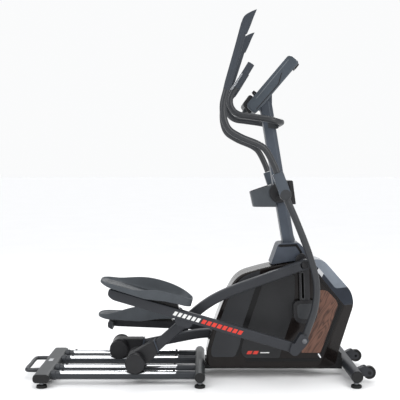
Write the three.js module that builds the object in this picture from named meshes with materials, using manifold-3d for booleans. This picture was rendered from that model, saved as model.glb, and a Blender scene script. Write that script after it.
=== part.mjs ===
// Front-drive elliptical trainer: two crank arms push two roller arms along rails,
// the roller arms carry the foot links, and the foot links drive the swing arms.
// Millimetres. +X is forward, +Y is the user's left, +Z is up, the floor is Z = 0.

import * as THREE from 'three';
import { mergeVertices } from 'three/addons/utils/BufferGeometryUtils.js';
import Module from 'manifold-3d';

const wasm = await Module();
wasm.setup();

// ---------------------------------------------------------------- driving sizes

const GAP = 0.3;                       // air left between pieces that meet
const SIDES = [
  { name: 'right', sign: -1, phase: 0 },
  { name: 'left', sign: 1, phase: Math.PI },
];

// Drive linkage, seen from the right-hand side.
const CRANK = { x: 513, z: 333, radius: 231, lean: -0.037 };
const ROLLER_HEIGHT = 103;
const ARM_LENGTH = 926;                // crank pin to roller axle
const LINK_PIN_ON_ARM = { along: 303, up: 67 };
const SWING_PIVOT = { x: 397, z: 900 };
const SWING_BOLT_RIGHT = { x: 489, z: 224 };
const LINK_TUBE_ANGLE = -0.288;        // slope of the right foot link at rest
const LINK_TUBE_UP = 26;               // foot-link tube axis above its pivot

// Lateral positions, as distances from the middle of the machine.
const HOUSING_HALF = 85;
const CRANK_ARM = { inner: 95, outer: 111, width: 50 };
const HUB_COVER = { inner: 90, outer: 116.5 };
const ROLLER_ARM = { inner: 118.5, outer: 161.5, height: 47 };
const LINK_PIN_END = 200;
const LINK_TUBE = { inner: 226.5, outer: 253.5, height: 47 };
const SWING_TUBE_RADIUS = 16;
const SWING_LOWER_Y = 240;
const SWING_HUB = { inner: 236, outer: 277, radius: 27 };
const HANDLE_Y = 305;
const GRIP_RADIUS = 18;

// Base.
const STABILISER_HALF = 264;
const STABILISER_BOTTOM = 26;
const REAR_STABILISER = { x: -731, width: 78, height: 40 };
const MIDDLE_STABILISER = { x: 6, radius: 24 };
const FRONT_STABILISER = { x: 735, radius: 28 };
const LIFT_HANDLE = { x: -833, half: 115, radius: 10 };
const FOOT = { y: 240, radius: 25, thickness: 13, stem: 8 };
const RAIL = { z: 47, radius: 20.5, coverRadius: 22, inner: 85, outer: 195 };
const RAIL_COVER = { rear: -654, front: -102 };
const WHEEL = { radius: 33.7, flange: 36.4, width: 24, bore: 9.2, axle: 8 };
const ROLLER_COVER = { radius: 45, wall: 3, inner: 58, outer: 222 };
const TRANSPORT = { x: 812, z: 50, y: 160, radius: 31, width: 22 };

// Mast and console.
const MAST = { depth: 60, width: 76, bottomZ: 578, topZ: 1345, baseX: 455, lean: -0.169 };
const CONSOLE = { x: 350, z: 1417, length: 322, thick: 58, half: 125, tilt: 0.867 };

// ---------------------------------------------------------------- helpers

function toManifold(geometry) {
  const plain = geometry.clone();
  plain.deleteAttribute('normal');
  plain.deleteAttribute('uv');
  const merged = mergeVertices(plain, 1e-3);
  return new wasm.Manifold(new wasm.Mesh({
    numProp: 3,
    vertProperties: new Float32Array(merged.attributes.position.array),
    triVerts: new Uint32Array(merged.index.array),
  }));
}

function fromManifold(solid) {
  const mesh = solid.getMesh();
  const geometry = new THREE.BufferGeometry();
  geometry.setAttribute('position', new THREE.BufferAttribute(mesh.vertProperties, 3));
  geometry.setIndex(new THREE.BufferAttribute(mesh.triVerts, 1));
  return geometry;
}

function join(...geometries) {
  return fromManifold(geometries.map(toManifold).reduce((sum, next) => sum.add(next)));
}

function cut(base, ...tools) {
  return fromManifold(tools.map(toManifold).reduce((rest, tool) => rest.subtract(tool), toManifold(base)));
}

function common(first, second) {
  return fromManifold(toManifold(first).intersect(toManifold(second)));
}

// Range between two distances from the middle plane, on the given side.
function onSide(sign, near, far) {
  return sign > 0 ? [near, far] : [-far, -near];
}

function shapeFrom(points) {
  return new THREE.Shape(points.map(([x, z]) => new THREE.Vector2(x, z)));
}

// Closed outline whose corners are rounded; a corner may carry its own radius, zero for sharp.
function roundedOutline(points, radius, steps = 3) {
  const outline = [];
  points.forEach((point, index) => {
    const corner = new THREE.Vector2(point[0], point[1]);
    const before = points[(index + points.length - 1) % points.length];
    const after = points[(index + 1) % points.length];
    const back = new THREE.Vector2(before[0], before[1]).sub(corner);
    const ahead = new THREE.Vector2(after[0], after[1]).sub(corner);
    const reach = Math.min(point[2] ?? radius, back.length() / 2.1, ahead.length() / 2.1);
    if (reach === 0) {
      outline.push([corner.x, corner.y]);
      return;
    }
    const start = corner.clone().addScaledVector(back.normalize(), reach);
    const end = corner.clone().addScaledVector(ahead.normalize(), reach);
    const bend = new THREE.QuadraticBezierCurve(start, corner, end);
    bend.getPoints(steps).forEach((p) => outline.push([p.x, p.y]));
  });
  return outline;
}

// Outline in (x, z) carried sideways from one y to another.
function sideSlab(points, [yLow, yHigh], holes = []) {
  const shape = shapeFrom(points);
  holes.forEach((hole) => shape.holes.push(new THREE.Path(hole.map(([x, z]) => new THREE.Vector2(x, z)))));
  const solid = new THREE.ExtrudeGeometry(shape, { depth: yHigh - yLow, bevelEnabled: false });
  solid.rotateX(Math.PI / 2);
  solid.translate(0, yHigh, 0);
  return solid;
}

// Outline in (x, y) carried up from one z to another.
function planSlab(points, zLow, zHigh) {
  const solid = new THREE.ExtrudeGeometry(shapeFrom(points), { depth: zHigh - zLow, bevelEnabled: false });
  solid.translate(0, 0, zLow);
  return solid;
}

function circle(x, z, radius, count = 20) {
  return Array.from({ length: count }, (_, index) => {
    const angle = (2 * Math.PI * (index + 0.5)) / count;
    return [x + radius * Math.cos(angle), z + radius * Math.sin(angle)];
  });
}

function barY(x, z, radius, yRange, count = 20) {
  return sideSlab(circle(x, z, radius, count), yRange);
}

function box([xLow, xHigh], [yLow, yHigh], [zLow, zHigh]) {
  const solid = new THREE.BoxGeometry(xHigh - xLow, yHigh - yLow, zHigh - zLow);
  solid.translate((xLow + xHigh) / 2, (yLow + yHigh) / 2, (zLow + zHigh) / 2);
  return solid;
}

// Round tube that follows smooth bends through the given points.
function bentTube(points, radius, steps, count = 12) {
  const path = new THREE.CatmullRomCurve3(points.map((p) => new THREE.Vector3(...p)), false, 'centripetal');
  const section = new THREE.Shape(circle(0, 0, radius, count).map(([x, y]) => new THREE.Vector2(x, y)));
  return new THREE.ExtrudeGeometry(section, { steps, extrudePath: path, bevelEnabled: false });
}

// Solid of revolution about Z, from (radius, z) pairs.
function turned(profile, count) {
  const solid = new THREE.LatheGeometry(profile.map(([r, z]) => new THREE.Vector2(r, z)), count);
  solid.rotateX(Math.PI / 2);
  return solid;
}

// Turns (x, z) points by an angle from +X towards +Z and moves them to an origin.
function place(points, angle, origin) {
  const c = Math.cos(angle);
  const s = Math.sin(angle);
  return points.map(([x, z, ...rest]) => [
    origin.x + x * c - z * s,
    origin.z + x * s + z * c,
    ...rest,
  ]);
}

// Outline of a strip that runs along a centreline, with the given height.
function strip(centreline, height) {
  const upper = [];
  const lower = [];
  centreline.forEach(([x, z], index) => {
    const before = centreline[Math.max(index - 1, 0)];
    const after = centreline[Math.min(index + 1, centreline.length - 1)];
    const length = Math.hypot(after[0] - before[0], after[1] - before[1]);
    const nx = -(after[1] - before[1]) / length;
    const nz = (after[0] - before[0]) / length;
    upper.push([x + (nx * height) / 2, z + (nz * height) / 2]);
    lower.push([x - (nx * height) / 2, z - (nz * height) / 2]);
  });
  return lower.concat(upper.reverse());
}

function smoothLine(points, count) {
  const knots = points.map(([x, z]) => new THREE.Vector3(x, z, 0));
  const curve = new THREE.CatmullRomCurve3(knots, false, 'centripetal');
  return curve.getPoints(count).map((p) => [p.x, p.y]);
}

const group = new THREE.Group();

function add(name, geometry, color, roughness, metalness) {
  const material = new THREE.MeshStandardMaterial({ color, roughness, metalness });
  const mesh = new THREE.Mesh(geometry, material);
  mesh.name = name;
  group.add(mesh);
}

const PAINT = [0x4b5058, 0.45, 0.4];
const PLASTIC = [0x2c2d30, 0.6, 0.05];
const GLOSS = [0x191414, 0.2, 0.1];
const CHROME = [0xd8dce0, 0.15, 1.0];
const STEEL = [0x8d9198, 0.35, 0.9];
const RUBBER = [0x1a1a1b, 0.85, 0.0];
const FOAM = [0x333539, 0.9, 0.0];
const WOOD = [0x9a735f, 0.55, 0.0];
const REFLECTIVE = [0x8e96a2, 0.3, 0.4];

// ---------------------------------------------------------------- linkage at rest

function poseOf(side) {
  const angle = CRANK.lean + side.phase;
  const pin = {
    x: CRANK.x + CRANK.radius * Math.sin(angle),
    z: CRANK.z + CRANK.radius * Math.cos(angle),
  };
  const rise = pin.z - ROLLER_HEIGHT;
  const roller = { x: pin.x - Math.sqrt(ARM_LENGTH ** 2 - rise ** 2), z: ROLLER_HEIGHT };
  const armAngle = Math.atan2(rise, pin.x - roller.x);
  const [[x, z]] = place([[LINK_PIN_ON_ARM.along, LINK_PIN_ON_ARM.up]], armAngle, roller);
  return { pin, roller, armAngle, linkPin: { x, z } };
}

const SWING_LENGTH = Math.hypot(SWING_BOLT_RIGHT.x - SWING_PIVOT.x, SWING_BOLT_RIGHT.z - SWING_PIVOT.z);
const RIGHT_LINK_PIN = poseOf(SIDES[0]).linkPin;
const LINK_REACH = Math.hypot(SWING_BOLT_RIGHT.x - RIGHT_LINK_PIN.x, SWING_BOLT_RIGHT.z - RIGHT_LINK_PIN.z);
const LINK_OFFSET = Math.atan2(SWING_BOLT_RIGHT.z - RIGHT_LINK_PIN.z, SWING_BOLT_RIGHT.x - RIGHT_LINK_PIN.x)
  - LINK_TUBE_ANGLE;

// Where the bolt between swing arm and foot link sits, for a given foot-link pivot.
function swingBolt(linkPin) {
  const dx = linkPin.x - SWING_PIVOT.x;
  const dz = linkPin.z - SWING_PIVOT.z;
  const distance = Math.hypot(dx, dz);
  const along = (SWING_LENGTH ** 2 - LINK_REACH ** 2 + distance ** 2) / (2 * distance);
  const across = Math.sqrt(SWING_LENGTH ** 2 - along ** 2);
  return {
    x: SWING_PIVOT.x + (along * dx - across * dz) / distance,
    z: SWING_PIVOT.z + (along * dz + across * dx) / distance,
  };
}

// ---------------------------------------------------------------- base

function addFoot(name, x, y) {
  const foot = turned([
    [0, 0], [FOOT.radius, 0], [FOOT.radius, FOOT.thickness], [FOOT.stem, FOOT.thickness],
    [FOOT.stem, STABILISER_BOTTOM - GAP], [0, STABILISER_BOTTOM - GAP],
  ], 12);
  foot.translate(x, y, 0);
  add(name, foot, ...RUBBER);
}

function liftHandle() {
  const rear = REAR_STABILISER.x - REAR_STABILISER.width / 2 + 12;
  const z = STABILISER_BOTTOM + REAR_STABILISER.height / 2 + 2;
  const bend = 26;
  const { x, half, radius } = LIFT_HANDLE;
  return bentTube([
    [rear, -half, z], [x + bend, -half, z], [x + 5, -half + 5, z], [x, -half + bend, z], [x, 0, z],
    [x, half - bend, z], [x + 5, half - 5, z], [x + bend, half, z], [rear, half, z],
  ], radius, 16, 8);
}

function rearStabiliser() {
  const { x, width, height } = REAR_STABILISER;
  const z = STABILISER_BOTTOM + height / 2;
  const corners = [
    [x - width / 2, z - height / 2], [x + width / 2, z - height / 2],
    [x + width / 2, z + height / 2], [x - width / 2, z + height / 2],
  ];
  const beam = sideSlab(roundedOutline(corners, height / 2.1, 4), [-STABILISER_HALF, STABILISER_HALF]);
  return join(beam, liftHandle());
}

function transportFork(sign) {
  const { x, z, y, width } = TRANSPORT;
  const back = FRONT_STABILISER.x + 10;
  const outline = roundedOutline([[back, z - 16], [x + 12, z - 12], [x + 12, z + 12], [back, z + 20]], 10, 2);
  const plates = [y - width / 2 - 5, y + width / 2 + 1].map((near) => (
    sideSlab(outline, onSide(sign, near, near + 4), [circle(x, z, 7.2, 8)])));
  return plates;
}

function frontStabiliser() {
  const z = STABILISER_BOTTOM + FRONT_STABILISER.radius;
  const ends = [-STABILISER_HALF, STABILISER_HALF];
  const beam = barY(FRONT_STABILISER.x, z, FRONT_STABILISER.radius, ends, 16);
  return join(beam, ...SIDES.flatMap((side) => transportFork(side.sign)));
}

function addBase() {
  add('rear_stabiliser', rearStabiliser(), ...PAINT);
  const middleZ = STABILISER_BOTTOM + MIDDLE_STABILISER.radius;
  const ends = [-STABILISER_HALF, STABILISER_HALF];
  add('middle_stabiliser', barY(MIDDLE_STABILISER.x, middleZ, MIDDLE_STABILISER.radius, ends, 16), ...PAINT);
  add('front_stabiliser', frontStabiliser(), ...PAINT);
  const rows = { rear: REAR_STABILISER.x, middle: MIDDLE_STABILISER.x, front: FRONT_STABILISER.x };
  Object.entries(rows).forEach(([row, x]) => {
    SIDES.forEach((side) => addFoot(`foot_${row}_${side.name}`, x, side.sign * FOOT.y));
  });
}

function addTransportWheel(side) {
  const { x, z, y, radius, width } = TRANSPORT;
  const half = width / 2;
  const wheel = turned([
    [0, -half - 5], [6, -half - 5], [6, -half], [radius, -half],
    [radius, half], [6, half], [6, half + 5], [0, half + 5],
  ], 16);
  wheel.rotateX(Math.PI / 2);
  wheel.translate(x, side.sign * y, z);
  add(`transport_wheel_${side.name}`, wheel, ...RUBBER);
}

function addRails(side) {
  const rear = REAR_STABILISER.x + REAR_STABILISER.width / 2 + GAP;
  const front = MIDDLE_STABILISER.x - MIDDLE_STABILISER.radius - GAP;
  const spread = 1.13;
  const arc = (radius, from, to) => Array.from({ length: 9 }, (_, index) => {
    const angle = from + ((to - from) * index) / 8;
    return [radius * Math.sin(angle), radius * Math.cos(angle)];
  });
  const coverOutline = arc(RAIL.coverRadius, -spread, spread).concat(arc(RAIL.radius + GAP, spread, -spread));
  ['inner', 'outer'].forEach((row) => {
    const y = side.sign * RAIL[row];
    const along = (outline, from, to) => {
      const solid = new THREE.ExtrudeGeometry(shapeFrom(outline), { depth: to - from, bevelEnabled: false });
      solid.rotateX(Math.PI / 2);
      solid.rotateZ(Math.PI / 2);
      solid.translate(from, y, RAIL.z);
      return solid;
    };
    add(`rail_beam_${row}_${side.name}`, along(circle(0, 0, RAIL.radius, 16), rear, front), ...PAINT);
    const cover = along(coverOutline, RAIL_COVER.rear, RAIL_COVER.front);
    add(`rail_cover_${row}_${side.name}`, cover, ...CHROME);
  });
}

// ---------------------------------------------------------------- main frame and housing

function mastX(z) {
  return MAST.baseX + MAST.lean * (z - MAST.bottomZ);
}

// Leaning post with chamfered front corners between two heights.
function mastPost(zLow, zHigh, depth, width) {
  const chamfer = depth * 0.28;
  const section = [
    [-depth / 2 + 5, -width / 2], [depth / 2 - chamfer, -width / 2], [depth / 2, -width / 2 + chamfer],
    [depth / 2, width / 2 - chamfer], [depth / 2 - chamfer, width / 2], [-depth / 2 + 5, width / 2],
    [-depth / 2, width / 2 - 5], [-depth / 2, -width / 2 + 5],
  ];
  const post = planSlab(section, 0, zHigh - zLow);
  const lean = new THREE.Matrix4().makeShear(0, 0, 0, 0, MAST.lean, 0);
  post.applyMatrix4(lean);
  post.translate(mastX(zLow), 0, zLow);
  return post;
}

const SPINE = { low: 33, high: 85, half: 34 };
const FLYWHEEL = { x: 232, z: 278, radius: 122 };

function addMainFrame() {
  const rear = MIDDLE_STABILISER.x + MIDDLE_STABILISER.radius + GAP;
  const front = FRONT_STABILISER.x - FRONT_STABILISER.radius - GAP;
  const spine = box([rear, front], [-SPINE.half, SPINE.half], [SPINE.low, SPINE.high]);
  const post = mastPost(SPINE.high - 5, MAST.bottomZ - GAP, MAST.depth - 8, 60);
  const crankBearing = barY(CRANK.x, CRANK.z, 30, [-36, 36]);
  const stay = sideSlab([
    [FLYWHEEL.x - 45, SPINE.high - 5], [FLYWHEEL.x + 45, SPINE.high - 5],
    [FLYWHEEL.x + 18, FLYWHEEL.z], [FLYWHEEL.x - 18, FLYWHEEL.z],
  ], [-12, 12]);
  const wheelBearing = barY(FLYWHEEL.x, FLYWHEEL.z, 22, [-26, 26]);
  const nose = sideSlab([
    [front - 70, SPINE.high - 4], [front - 2, SPINE.high - 4],
    [front - 2, SPINE.high + 24], [front - 24, SPINE.high + 42],
    [front - 70, SPINE.high + 42],
  ], [-SPINE.half + 3, SPINE.half - 3]);
  const frame = cut(
    join(spine, post, crankBearing, stay, wheelBearing, nose),
    barY(CRANK.x, CRANK.z, 12 + GAP, [-60, 60]),
    barY(FLYWHEEL.x, FLYWHEEL.z, 10 + GAP, [-60, 60]),
  );
  add('main_frame', frame, ...PAINT);
}

// Side outline of the housing, moved inward by the given amount.
function housingOutline(inset) {
  const corners = [
    [38 + inset, 50 + inset, 34], [38 + inset, 133, 30],
    [72 + inset, 255, 120], [128 + inset, 401 - inset, 90],
    [186 + inset, 503 - inset, 60], [350, 550 - inset, 120], [600 - inset / 2, 583 - inset, 45],
    [748 - inset, 417 - inset / 2, 45], [757 - inset, 355, 60], [690 - inset, 133, 40],
    [672 - inset, 50 + inset, 20],
  ];
  return roundedOutline(corners, 30, 3);
}

// Wedge that bevels the housing side outside a crease line, 35 mm in for every 60 mm out.
function bevelWedge(sign, from, to, inset) {
  const run = new THREE.Vector3(to[0] - from[0], 0, to[1] - from[1]);
  const length = run.length();
  const along = run.normalize().multiplyScalar(-sign);
  const outward = new THREE.Vector3(sign * along.z, 0, -sign * along.x);
  const reach = 96;
  const half = HOUSING_HALF - inset;
  const section = [[0, half], [reach, half - (reach * 35) / 60], [reach, half + 20], [0, half + 20]];
  const overrun = 100;
  const solid = new THREE.ExtrudeGeometry(
    shapeFrom(section.map(([out, y]) => [out - inset * 0.7, y])),
    { depth: length + 2 * overrun, bevelEnabled: false });
  solid.applyMatrix4(new THREE.Matrix4().makeBasis(outward, new THREE.Vector3(0, sign, 0), along));
  const start = sign > 0 ? to : from;
  solid.translate(start[0] - along.x * overrun, 0, start[1] - along.z * overrun);
  return solid;
}

const CREASE_TOP = [577, 512];
const CREASE_FRONT = [704, 359];
const CREASE_LOW = [599, 102];

function housingSolid(inset) {
  const half = HOUSING_HALF - inset;
  const wedges = SIDES.flatMap(({ sign }) => [
    bevelWedge(sign, CREASE_TOP, CREASE_FRONT, inset),
    bevelWedge(sign, CREASE_FRONT, CREASE_LOW, inset),
  ]);
  return cut(sideSlab(housingOutline(inset), [-half, half]), ...wedges);
}

function housingShell() {
  return cut(housingSolid(0), housingSolid(3.5));
}

function addHousing() {
  const crankHole = barY(CRANK.x, CRANK.z, 24, [-100, 100], 14);
  const foot = mastX(553);
  const mastHole = box([foot - 50, foot + 50], [-48, 48], [513, 633]);
  const spineSlot = box([20, 720], [-SPINE.half - 3, SPINE.half + 3], [30, SPINE.high + 3]);
  const noseSlot = box([620, 740], [-SPINE.half, SPINE.half], [30, SPINE.high + 46]);
  const capRegion = [
    [CREASE_TOP[0] - 40, 640], CREASE_TOP, CREASE_FRONT, [800, CREASE_FRONT[1] + 20], [800, 640],
  ];
  const shell = cut(housingShell(), crankHole, mastHole, spineSlot, noseSlot);
  const cap = common(shell, sideSlab(capRegion, [-100, 100]));
  const seam = capRegion.map(([x, z], index) => (
    index === 1 || index === 2 ? [x - GAP, z - GAP] : [x - GAP, z]));
  const body = cut(shell, sideSlab(seam, [-100, 100]));
  SIDES.forEach((side) => {
    const half = box([0, 800], onSide(side.sign, GAP / 2, 100), [20, 660]);
    add(`housing_${side.name}`, common(body, half), ...GLOSS);
  });
  add('front_cap', cap, ...REFLECTIVE);
}

function addWoodPanel(side) {
  const outline = roundedOutline([
    [499, 125, 4], [592, 125, 8], [674, 359, 8], [668, 379, 6], [622, 429, 10], [588, 433, 8], [566, 413, 6],
  ], 6, 2);
  const [low, high] = onSide(side.sign, HOUSING_HALF + GAP, HOUSING_HALF + 3);
  add(`wood_panel_${side.name}`, sideSlab(outline, [low, high]), ...WOOD);
}

function addMast() {
  const post = mastPost(MAST.bottomZ, MAST.topZ, MAST.depth, MAST.width);
  const head = sideSlab([[262, 1345], [300, 1299], [356, 1299], [356, 1400], [346, 1420]], [-34, 34]);
  const consoleCut = consoleBlock(GAP * 2, 0);
  const axleHole = barY(SWING_PIVOT.x, SWING_PIVOT.z, 12 + GAP, [-60, 60]);
  add('mast', cut(join(post, head), consoleCut, axleHole), ...PAINT);
}

function addMastCover() {
  const outer = sideSlab(roundedOutline([
    [350, 553], [386, 655, 14], [486, 661, 14], [520, 621, 10], [528, 583],
  ], 5), [-70, 70]);
  const floor = housingSolid(-GAP);
  const well = mastPost(500, 760, MAST.depth + 2, MAST.width + 2);
  const hollow = sideSlab([[370, 493], [398, 641], [480, 647], [508, 611], [515, 493]], [-62, 62]);
  add('mast_cover', cut(outer, floor, well, hollow), ...PLASTIC);
}

// ---------------------------------------------------------------- mast fittings

function addSwingAxle() {
  const end = SWING_HUB.outer - 6;
  add('swing_axle', barY(SWING_PIVOT.x, SWING_PIVOT.z, 12, [-end, end], 16), ...STEEL);
}

const SHROUD = { radius: 50, inner: MAST.width / 2 + 1, thick: 26 };

// Round side plates of the axle shroud, optionally grown to cut room for them.
function shroudDiscs(grow) {
  const { radius, inner, thick } = SHROUD;
  return SIDES.map(({ sign }) => barY(
    SWING_PIVOT.x - 4, SWING_PIVOT.z + 2, radius + grow,
    onSide(sign, inner - grow, inner + thick + grow), 20));
}

function addAxleShroud() {
  const { x, z } = SWING_PIVOT;
  const side = SHROUD.inner;
  const front = sideSlab([[442, 845], [472, 845], [456, 961], [434, 961]], [-side - 20, side + 20]);
  const ties = SIDES.map(({ sign }) => box([x, 446], onSide(sign, side, side + 20), [z - 38, z + 40]));
  const well = mastPost(700, 1100, MAST.depth + 2, MAST.width + 2);
  const bore = barY(x, z, 12 + GAP, [-120, 120], 16);
  add('axle_shroud', cut(join(...shroudDiscs(0), ...ties, front), well, bore), ...PLASTIC);
}

function addCupHolder() {
  const floor = 842;
  const front = mastX(885) - MAST.depth / 2 - 1;
  const profile = [[252, 905], [270, 834], [front + 2, 830], [front - 8, 942]];
  const outer = sideSlab(roundedOutline(profile, 6, 2), [-55, 55]);
  const plan = roundedOutline(
    [[250, -55, 40], [front + 8, -55, 4], [front + 8, 55, 4], [250, 55, 40]], 10, 4);
  const cup = common(outer, planSlab(plan, 800, 1000));
  const hollow = planSlab(
    roundedOutline([[273, -51, 36], [352, -51, 20], [352, 51, 20], [273, 51, 36]], 10, 4), 0, 170);
  hollow.applyMatrix4(new THREE.Matrix4().makeShear(0, 0, 0, 0, -0.2, 0));
  hollow.translate(0, 0, floor);
  const well = mastPost(800, 1000, MAST.depth + 2, MAST.width + 2);
  add('cup_holder', cut(cup, hollow, well, ...shroudDiscs(1.5)), ...PLASTIC);
}

const FIXED_BAR_RADIUS = 15;

function addFixedHandlebar() {
  const y = 188;
  const half = [
    [389.5, 60, 1235], [389.5, 120, 1236], [387, 150, 1236.5], [368, 174, 1239], [343, y, 1245],
    [298, y, 1253], [240, y, 1261], [190, y, 1269], [164, y, 1285], [148, y, 1311], [145, y, 1339],
    [154, y, 1367], [183, y, 1407], [244, y, 1505],
  ];
  const right = half.map(([px, py, pz]) => [px, -py, pz]).reverse();
  const bar = bentTube([...right, [389.5, 0, 1235], ...half], FIXED_BAR_RADIUS, 32, 8);
  const clamp = cut(
    sideSlab(roundedOutline([[343, 1207], [396, 1207], [402, 1243], [343, 1243]], 4, 2), [-32, 32]),
    mastPost(1100, 1345, MAST.depth + 0.6, MAST.width + 0.6),
  );
  add('fixed_handlebar', join(bar, clamp), ...PAINT);
}

// Console slab outline pushed out by the given amount, with a ledge at its lower end.
function consoleBlock(grow, ledge) {
  const half = CONSOLE.length / 2 + grow;
  const low = -CONSOLE.thick / 2 - grow;
  const high = CONSOLE.thick / 2 + grow;
  const slab = place(roundedOutline([
    [-half, low, 20], [half, low, 16], [half, high, 24], [-half, high, 20],
  ], 10, 3), CONSOLE.tilt, CONSOLE);
  const solid = sideSlab(slab, [-CONSOLE.half - grow, CONSOLE.half + grow]);
  if (!ledge) {
    return solid;
  }
  const shelf = place(roundedOutline([
    [-half - 16, high - 34], [-half + 30, low + 6], [-half + 62, high - 2],
    [-half + 58, high + 24], [-half, high + 20],
  ], 12, 3), CONSOLE.tilt, CONSOLE);
  return join(solid, sideSlab(shelf, [-ledge, ledge]));
}

function addConsole() {
  const top = CONSOLE.thick / 2;
  const recess = place(
    [[-82, top - 3], [132, top - 3], [132, top + 20], [-82, top + 20]], CONSOLE.tilt, CONSOLE);
  const screen = place(
    [[-81, top - 2.7], [131, top - 2.7], [131, top - 0.4], [-81, top - 0.4]], CONSOLE.tilt, CONSOLE);
  add('console_housing', cut(consoleBlock(0, 96), sideSlab(recess, [-100, 100])), ...PLASTIC);
  add('console_screen', sideSlab(screen, [-99, 99]), 0x10151b, 0.1, 0.2);
}

// ---------------------------------------------------------------- crank and flywheel

function addCrank() {
  const end = CRANK_ARM.outer - 3;
  const pulley = barY(CRANK.x, CRANK.z, 118, [44, 60], 22);
  const shaft = barY(CRANK.x, CRANK.z, 12, [-end, end], 16);
  add('crank_shaft', join(shaft, pulley), ...STEEL);
  const hub = barY(FLYWHEEL.x, FLYWHEEL.z, 10, [-62, 60], 16);
  const disc = barY(FLYWHEEL.x, FLYWHEEL.z, FLYWHEEL.radius, [-60, -36], 22);
  const pinion = barY(FLYWHEEL.x, FLYWHEEL.z, 24, [44, 60], 14);
  add('flywheel', join(hub, disc, pinion), ...STEEL);
}

function crankArmOutline(side, grow) {
  const tilt = -(CRANK.lean + side.phase);
  const half = CRANK_ARM.width / 2 + grow;
  const outline = roundedOutline([
    [-half, -half, half], [half, -half, half],
    [half, CRANK.radius + half, half], [-half, CRANK.radius + half, half],
  ], half, 3);
  return { outline: place(outline, tilt, CRANK), tilt };
}

function addCrankArm(side) {
  const { outline, tilt } = crankArmOutline(side, 0);
  const slot = place(roundedOutline([
    [-14, 62, 8], [-3, 62, 8], [-3, 186, 8], [-14, 186, 8],
  ], 5, 3), tilt, CRANK);
  const arm = sideSlab(outline, onSide(side.sign, CRANK_ARM.inner, CRANK_ARM.outer));
  const recess = sideSlab(slot, onSide(side.sign, CRANK_ARM.outer - 7, CRANK_ARM.outer + 5));
  const boss = barY(
    CRANK.x + CRANK.radius * Math.sin(-tilt), CRANK.z + CRANK.radius * Math.cos(tilt), 19,
    onSide(side.sign, CRANK_ARM.inner + 4, ROLLER_ARM.inner - 0.5));
  const bore = barY(CRANK.x, CRANK.z, 12 + GAP, onSide(side.sign, 60, CRANK_ARM.outer - 2.5), 16);
  add(`crank_arm_${side.name}`, cut(join(arm, boss), recess, bore), ...PAINT);
  const cover = sideSlab(place(roundedOutline([
    [-58, 34, 16], [-46, 52, 12], [46, 52, 12], [58, 34, 16],
    [58, -30, 16], [34, -58, 14], [-34, -58, 14], [-58, -30, 16],
  ], 12, 2), tilt, CRANK), onSide(side.sign, HUB_COVER.inner, HUB_COVER.outer));
  const room = sideSlab(
    crankArmOutline(side, GAP).outline,
    onSide(side.sign, HUB_COVER.inner - 5, CRANK_ARM.outer + GAP));
  add(`crank_cover_${side.name}`, cut(cover, room), ...PLASTIC);
}

// ---------------------------------------------------------------- roller arms

// Centreline of the arched roller arm, from roller axle to crank pin.
const ARM_LINE = [
  [6, -12], [132, 13], [250, 37], [330, 53], [395, 65], [463, 70], [535, 66], [610, 56], [720, 36], [906, 4],
];

function rollerArmSolid(pose, side, grow) {
  const yRange = onSide(side.sign, ROLLER_ARM.inner - grow, ROLLER_ARM.outer + grow);
  const line = smoothLine(ARM_LINE, 14);
  const beam = sideSlab(place(strip(line, ROLLER_ARM.height + 2 * grow), pose.armAngle, pose.roller), yRange);
  const [head] = place([[ARM_LENGTH - 4, 6]], pose.armAngle, pose.roller);
  const eye = barY(head[0], head[1], 33 + grow, yRange);
  const foot = barY(pose.roller.x, pose.roller.z, 24 + grow, yRange);
  return join(beam, eye, foot);
}

function addRollerArm(side) {
  const pose = poseOf(side);
  const arm = rollerArmSolid(pose, side, 0);
  const pin = barY(pose.linkPin.x, pose.linkPin.z, 11,
    onSide(side.sign, ROLLER_ARM.outer - 8, LINK_PIN_END - GAP), 16);
  const bore = barY(pose.roller.x, pose.roller.z, WHEEL.bore, onSide(side.sign, 100, 180), 16);
  add(`roller_arm_${side.name}`, cut(join(arm, pin), bore), ...PAINT);

  const { radius, wall, inner, outer } = ROLLER_COVER;
  const { x, z } = pose.roller;
  const drum = barY(x, z, radius, onSide(side.sign, inner, outer), 20);
  const sleeve = sideSlab(place(roundedOutline([
    [10, -34], [70, -32], [112, -16], [122, 44], [60, 44], [10, 44],
  ], 8, 2), pose.armAngle, pose.roller), onSide(side.sign, ROLLER_ARM.inner - 9, ROLLER_ARM.outer + 9));
  const hollow = barY(x, z, radius - wall, onSide(side.sign, inner + wall, outer - wall), 20);
  const mouth = sideSlab(place(
    [[0, 0], [-60, -12], [-90, -120], [60, -120], [58, -44]], pose.armAngle, pose.roller),
    onSide(side.sign, inner + wall, outer - wall));
  const cover = cut(join(drum, sleeve), hollow, mouth, rollerArmSolid(pose, side, 0.6));
  add(`roller_cover_${side.name}`, cover, ...PLASTIC);
}

function addRoller(side) {
  const { roller } = poseOf(side);
  const ends = onSide(
    side.sign, ROLLER_COVER.inner + ROLLER_COVER.wall + 1, ROLLER_COVER.outer - ROLLER_COVER.wall - 1);
  add(`roller_axle_${side.name}`, barY(roller.x, roller.z, WHEEL.axle, ends, 16), ...STEEL);
  ['inner', 'outer'].forEach((row) => {
    const half = WHEEL.width / 2;
    const profile = [
      [0, -half], [WHEEL.flange, -half], [WHEEL.radius + 0.8, -half / 2], [WHEEL.radius, 0],
      [WHEEL.radius + 0.8, half / 2], [WHEEL.flange, half], [0, half],
    ];
    const tyre = turned(profile, 14);
    tyre.rotateX(Math.PI / 2);
    tyre.translate(roller.x, side.sign * RAIL[row], roller.z);
    const y = side.sign * RAIL[row];
    const bore = barY(roller.x, roller.z, WHEEL.bore, [y - 20, y + 20], 10);
    add(`roller_wheel_${row}_${side.name}`, cut(tyre, bore), ...RUBBER);
  });
}

// ---------------------------------------------------------------- foot links and pedals

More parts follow.
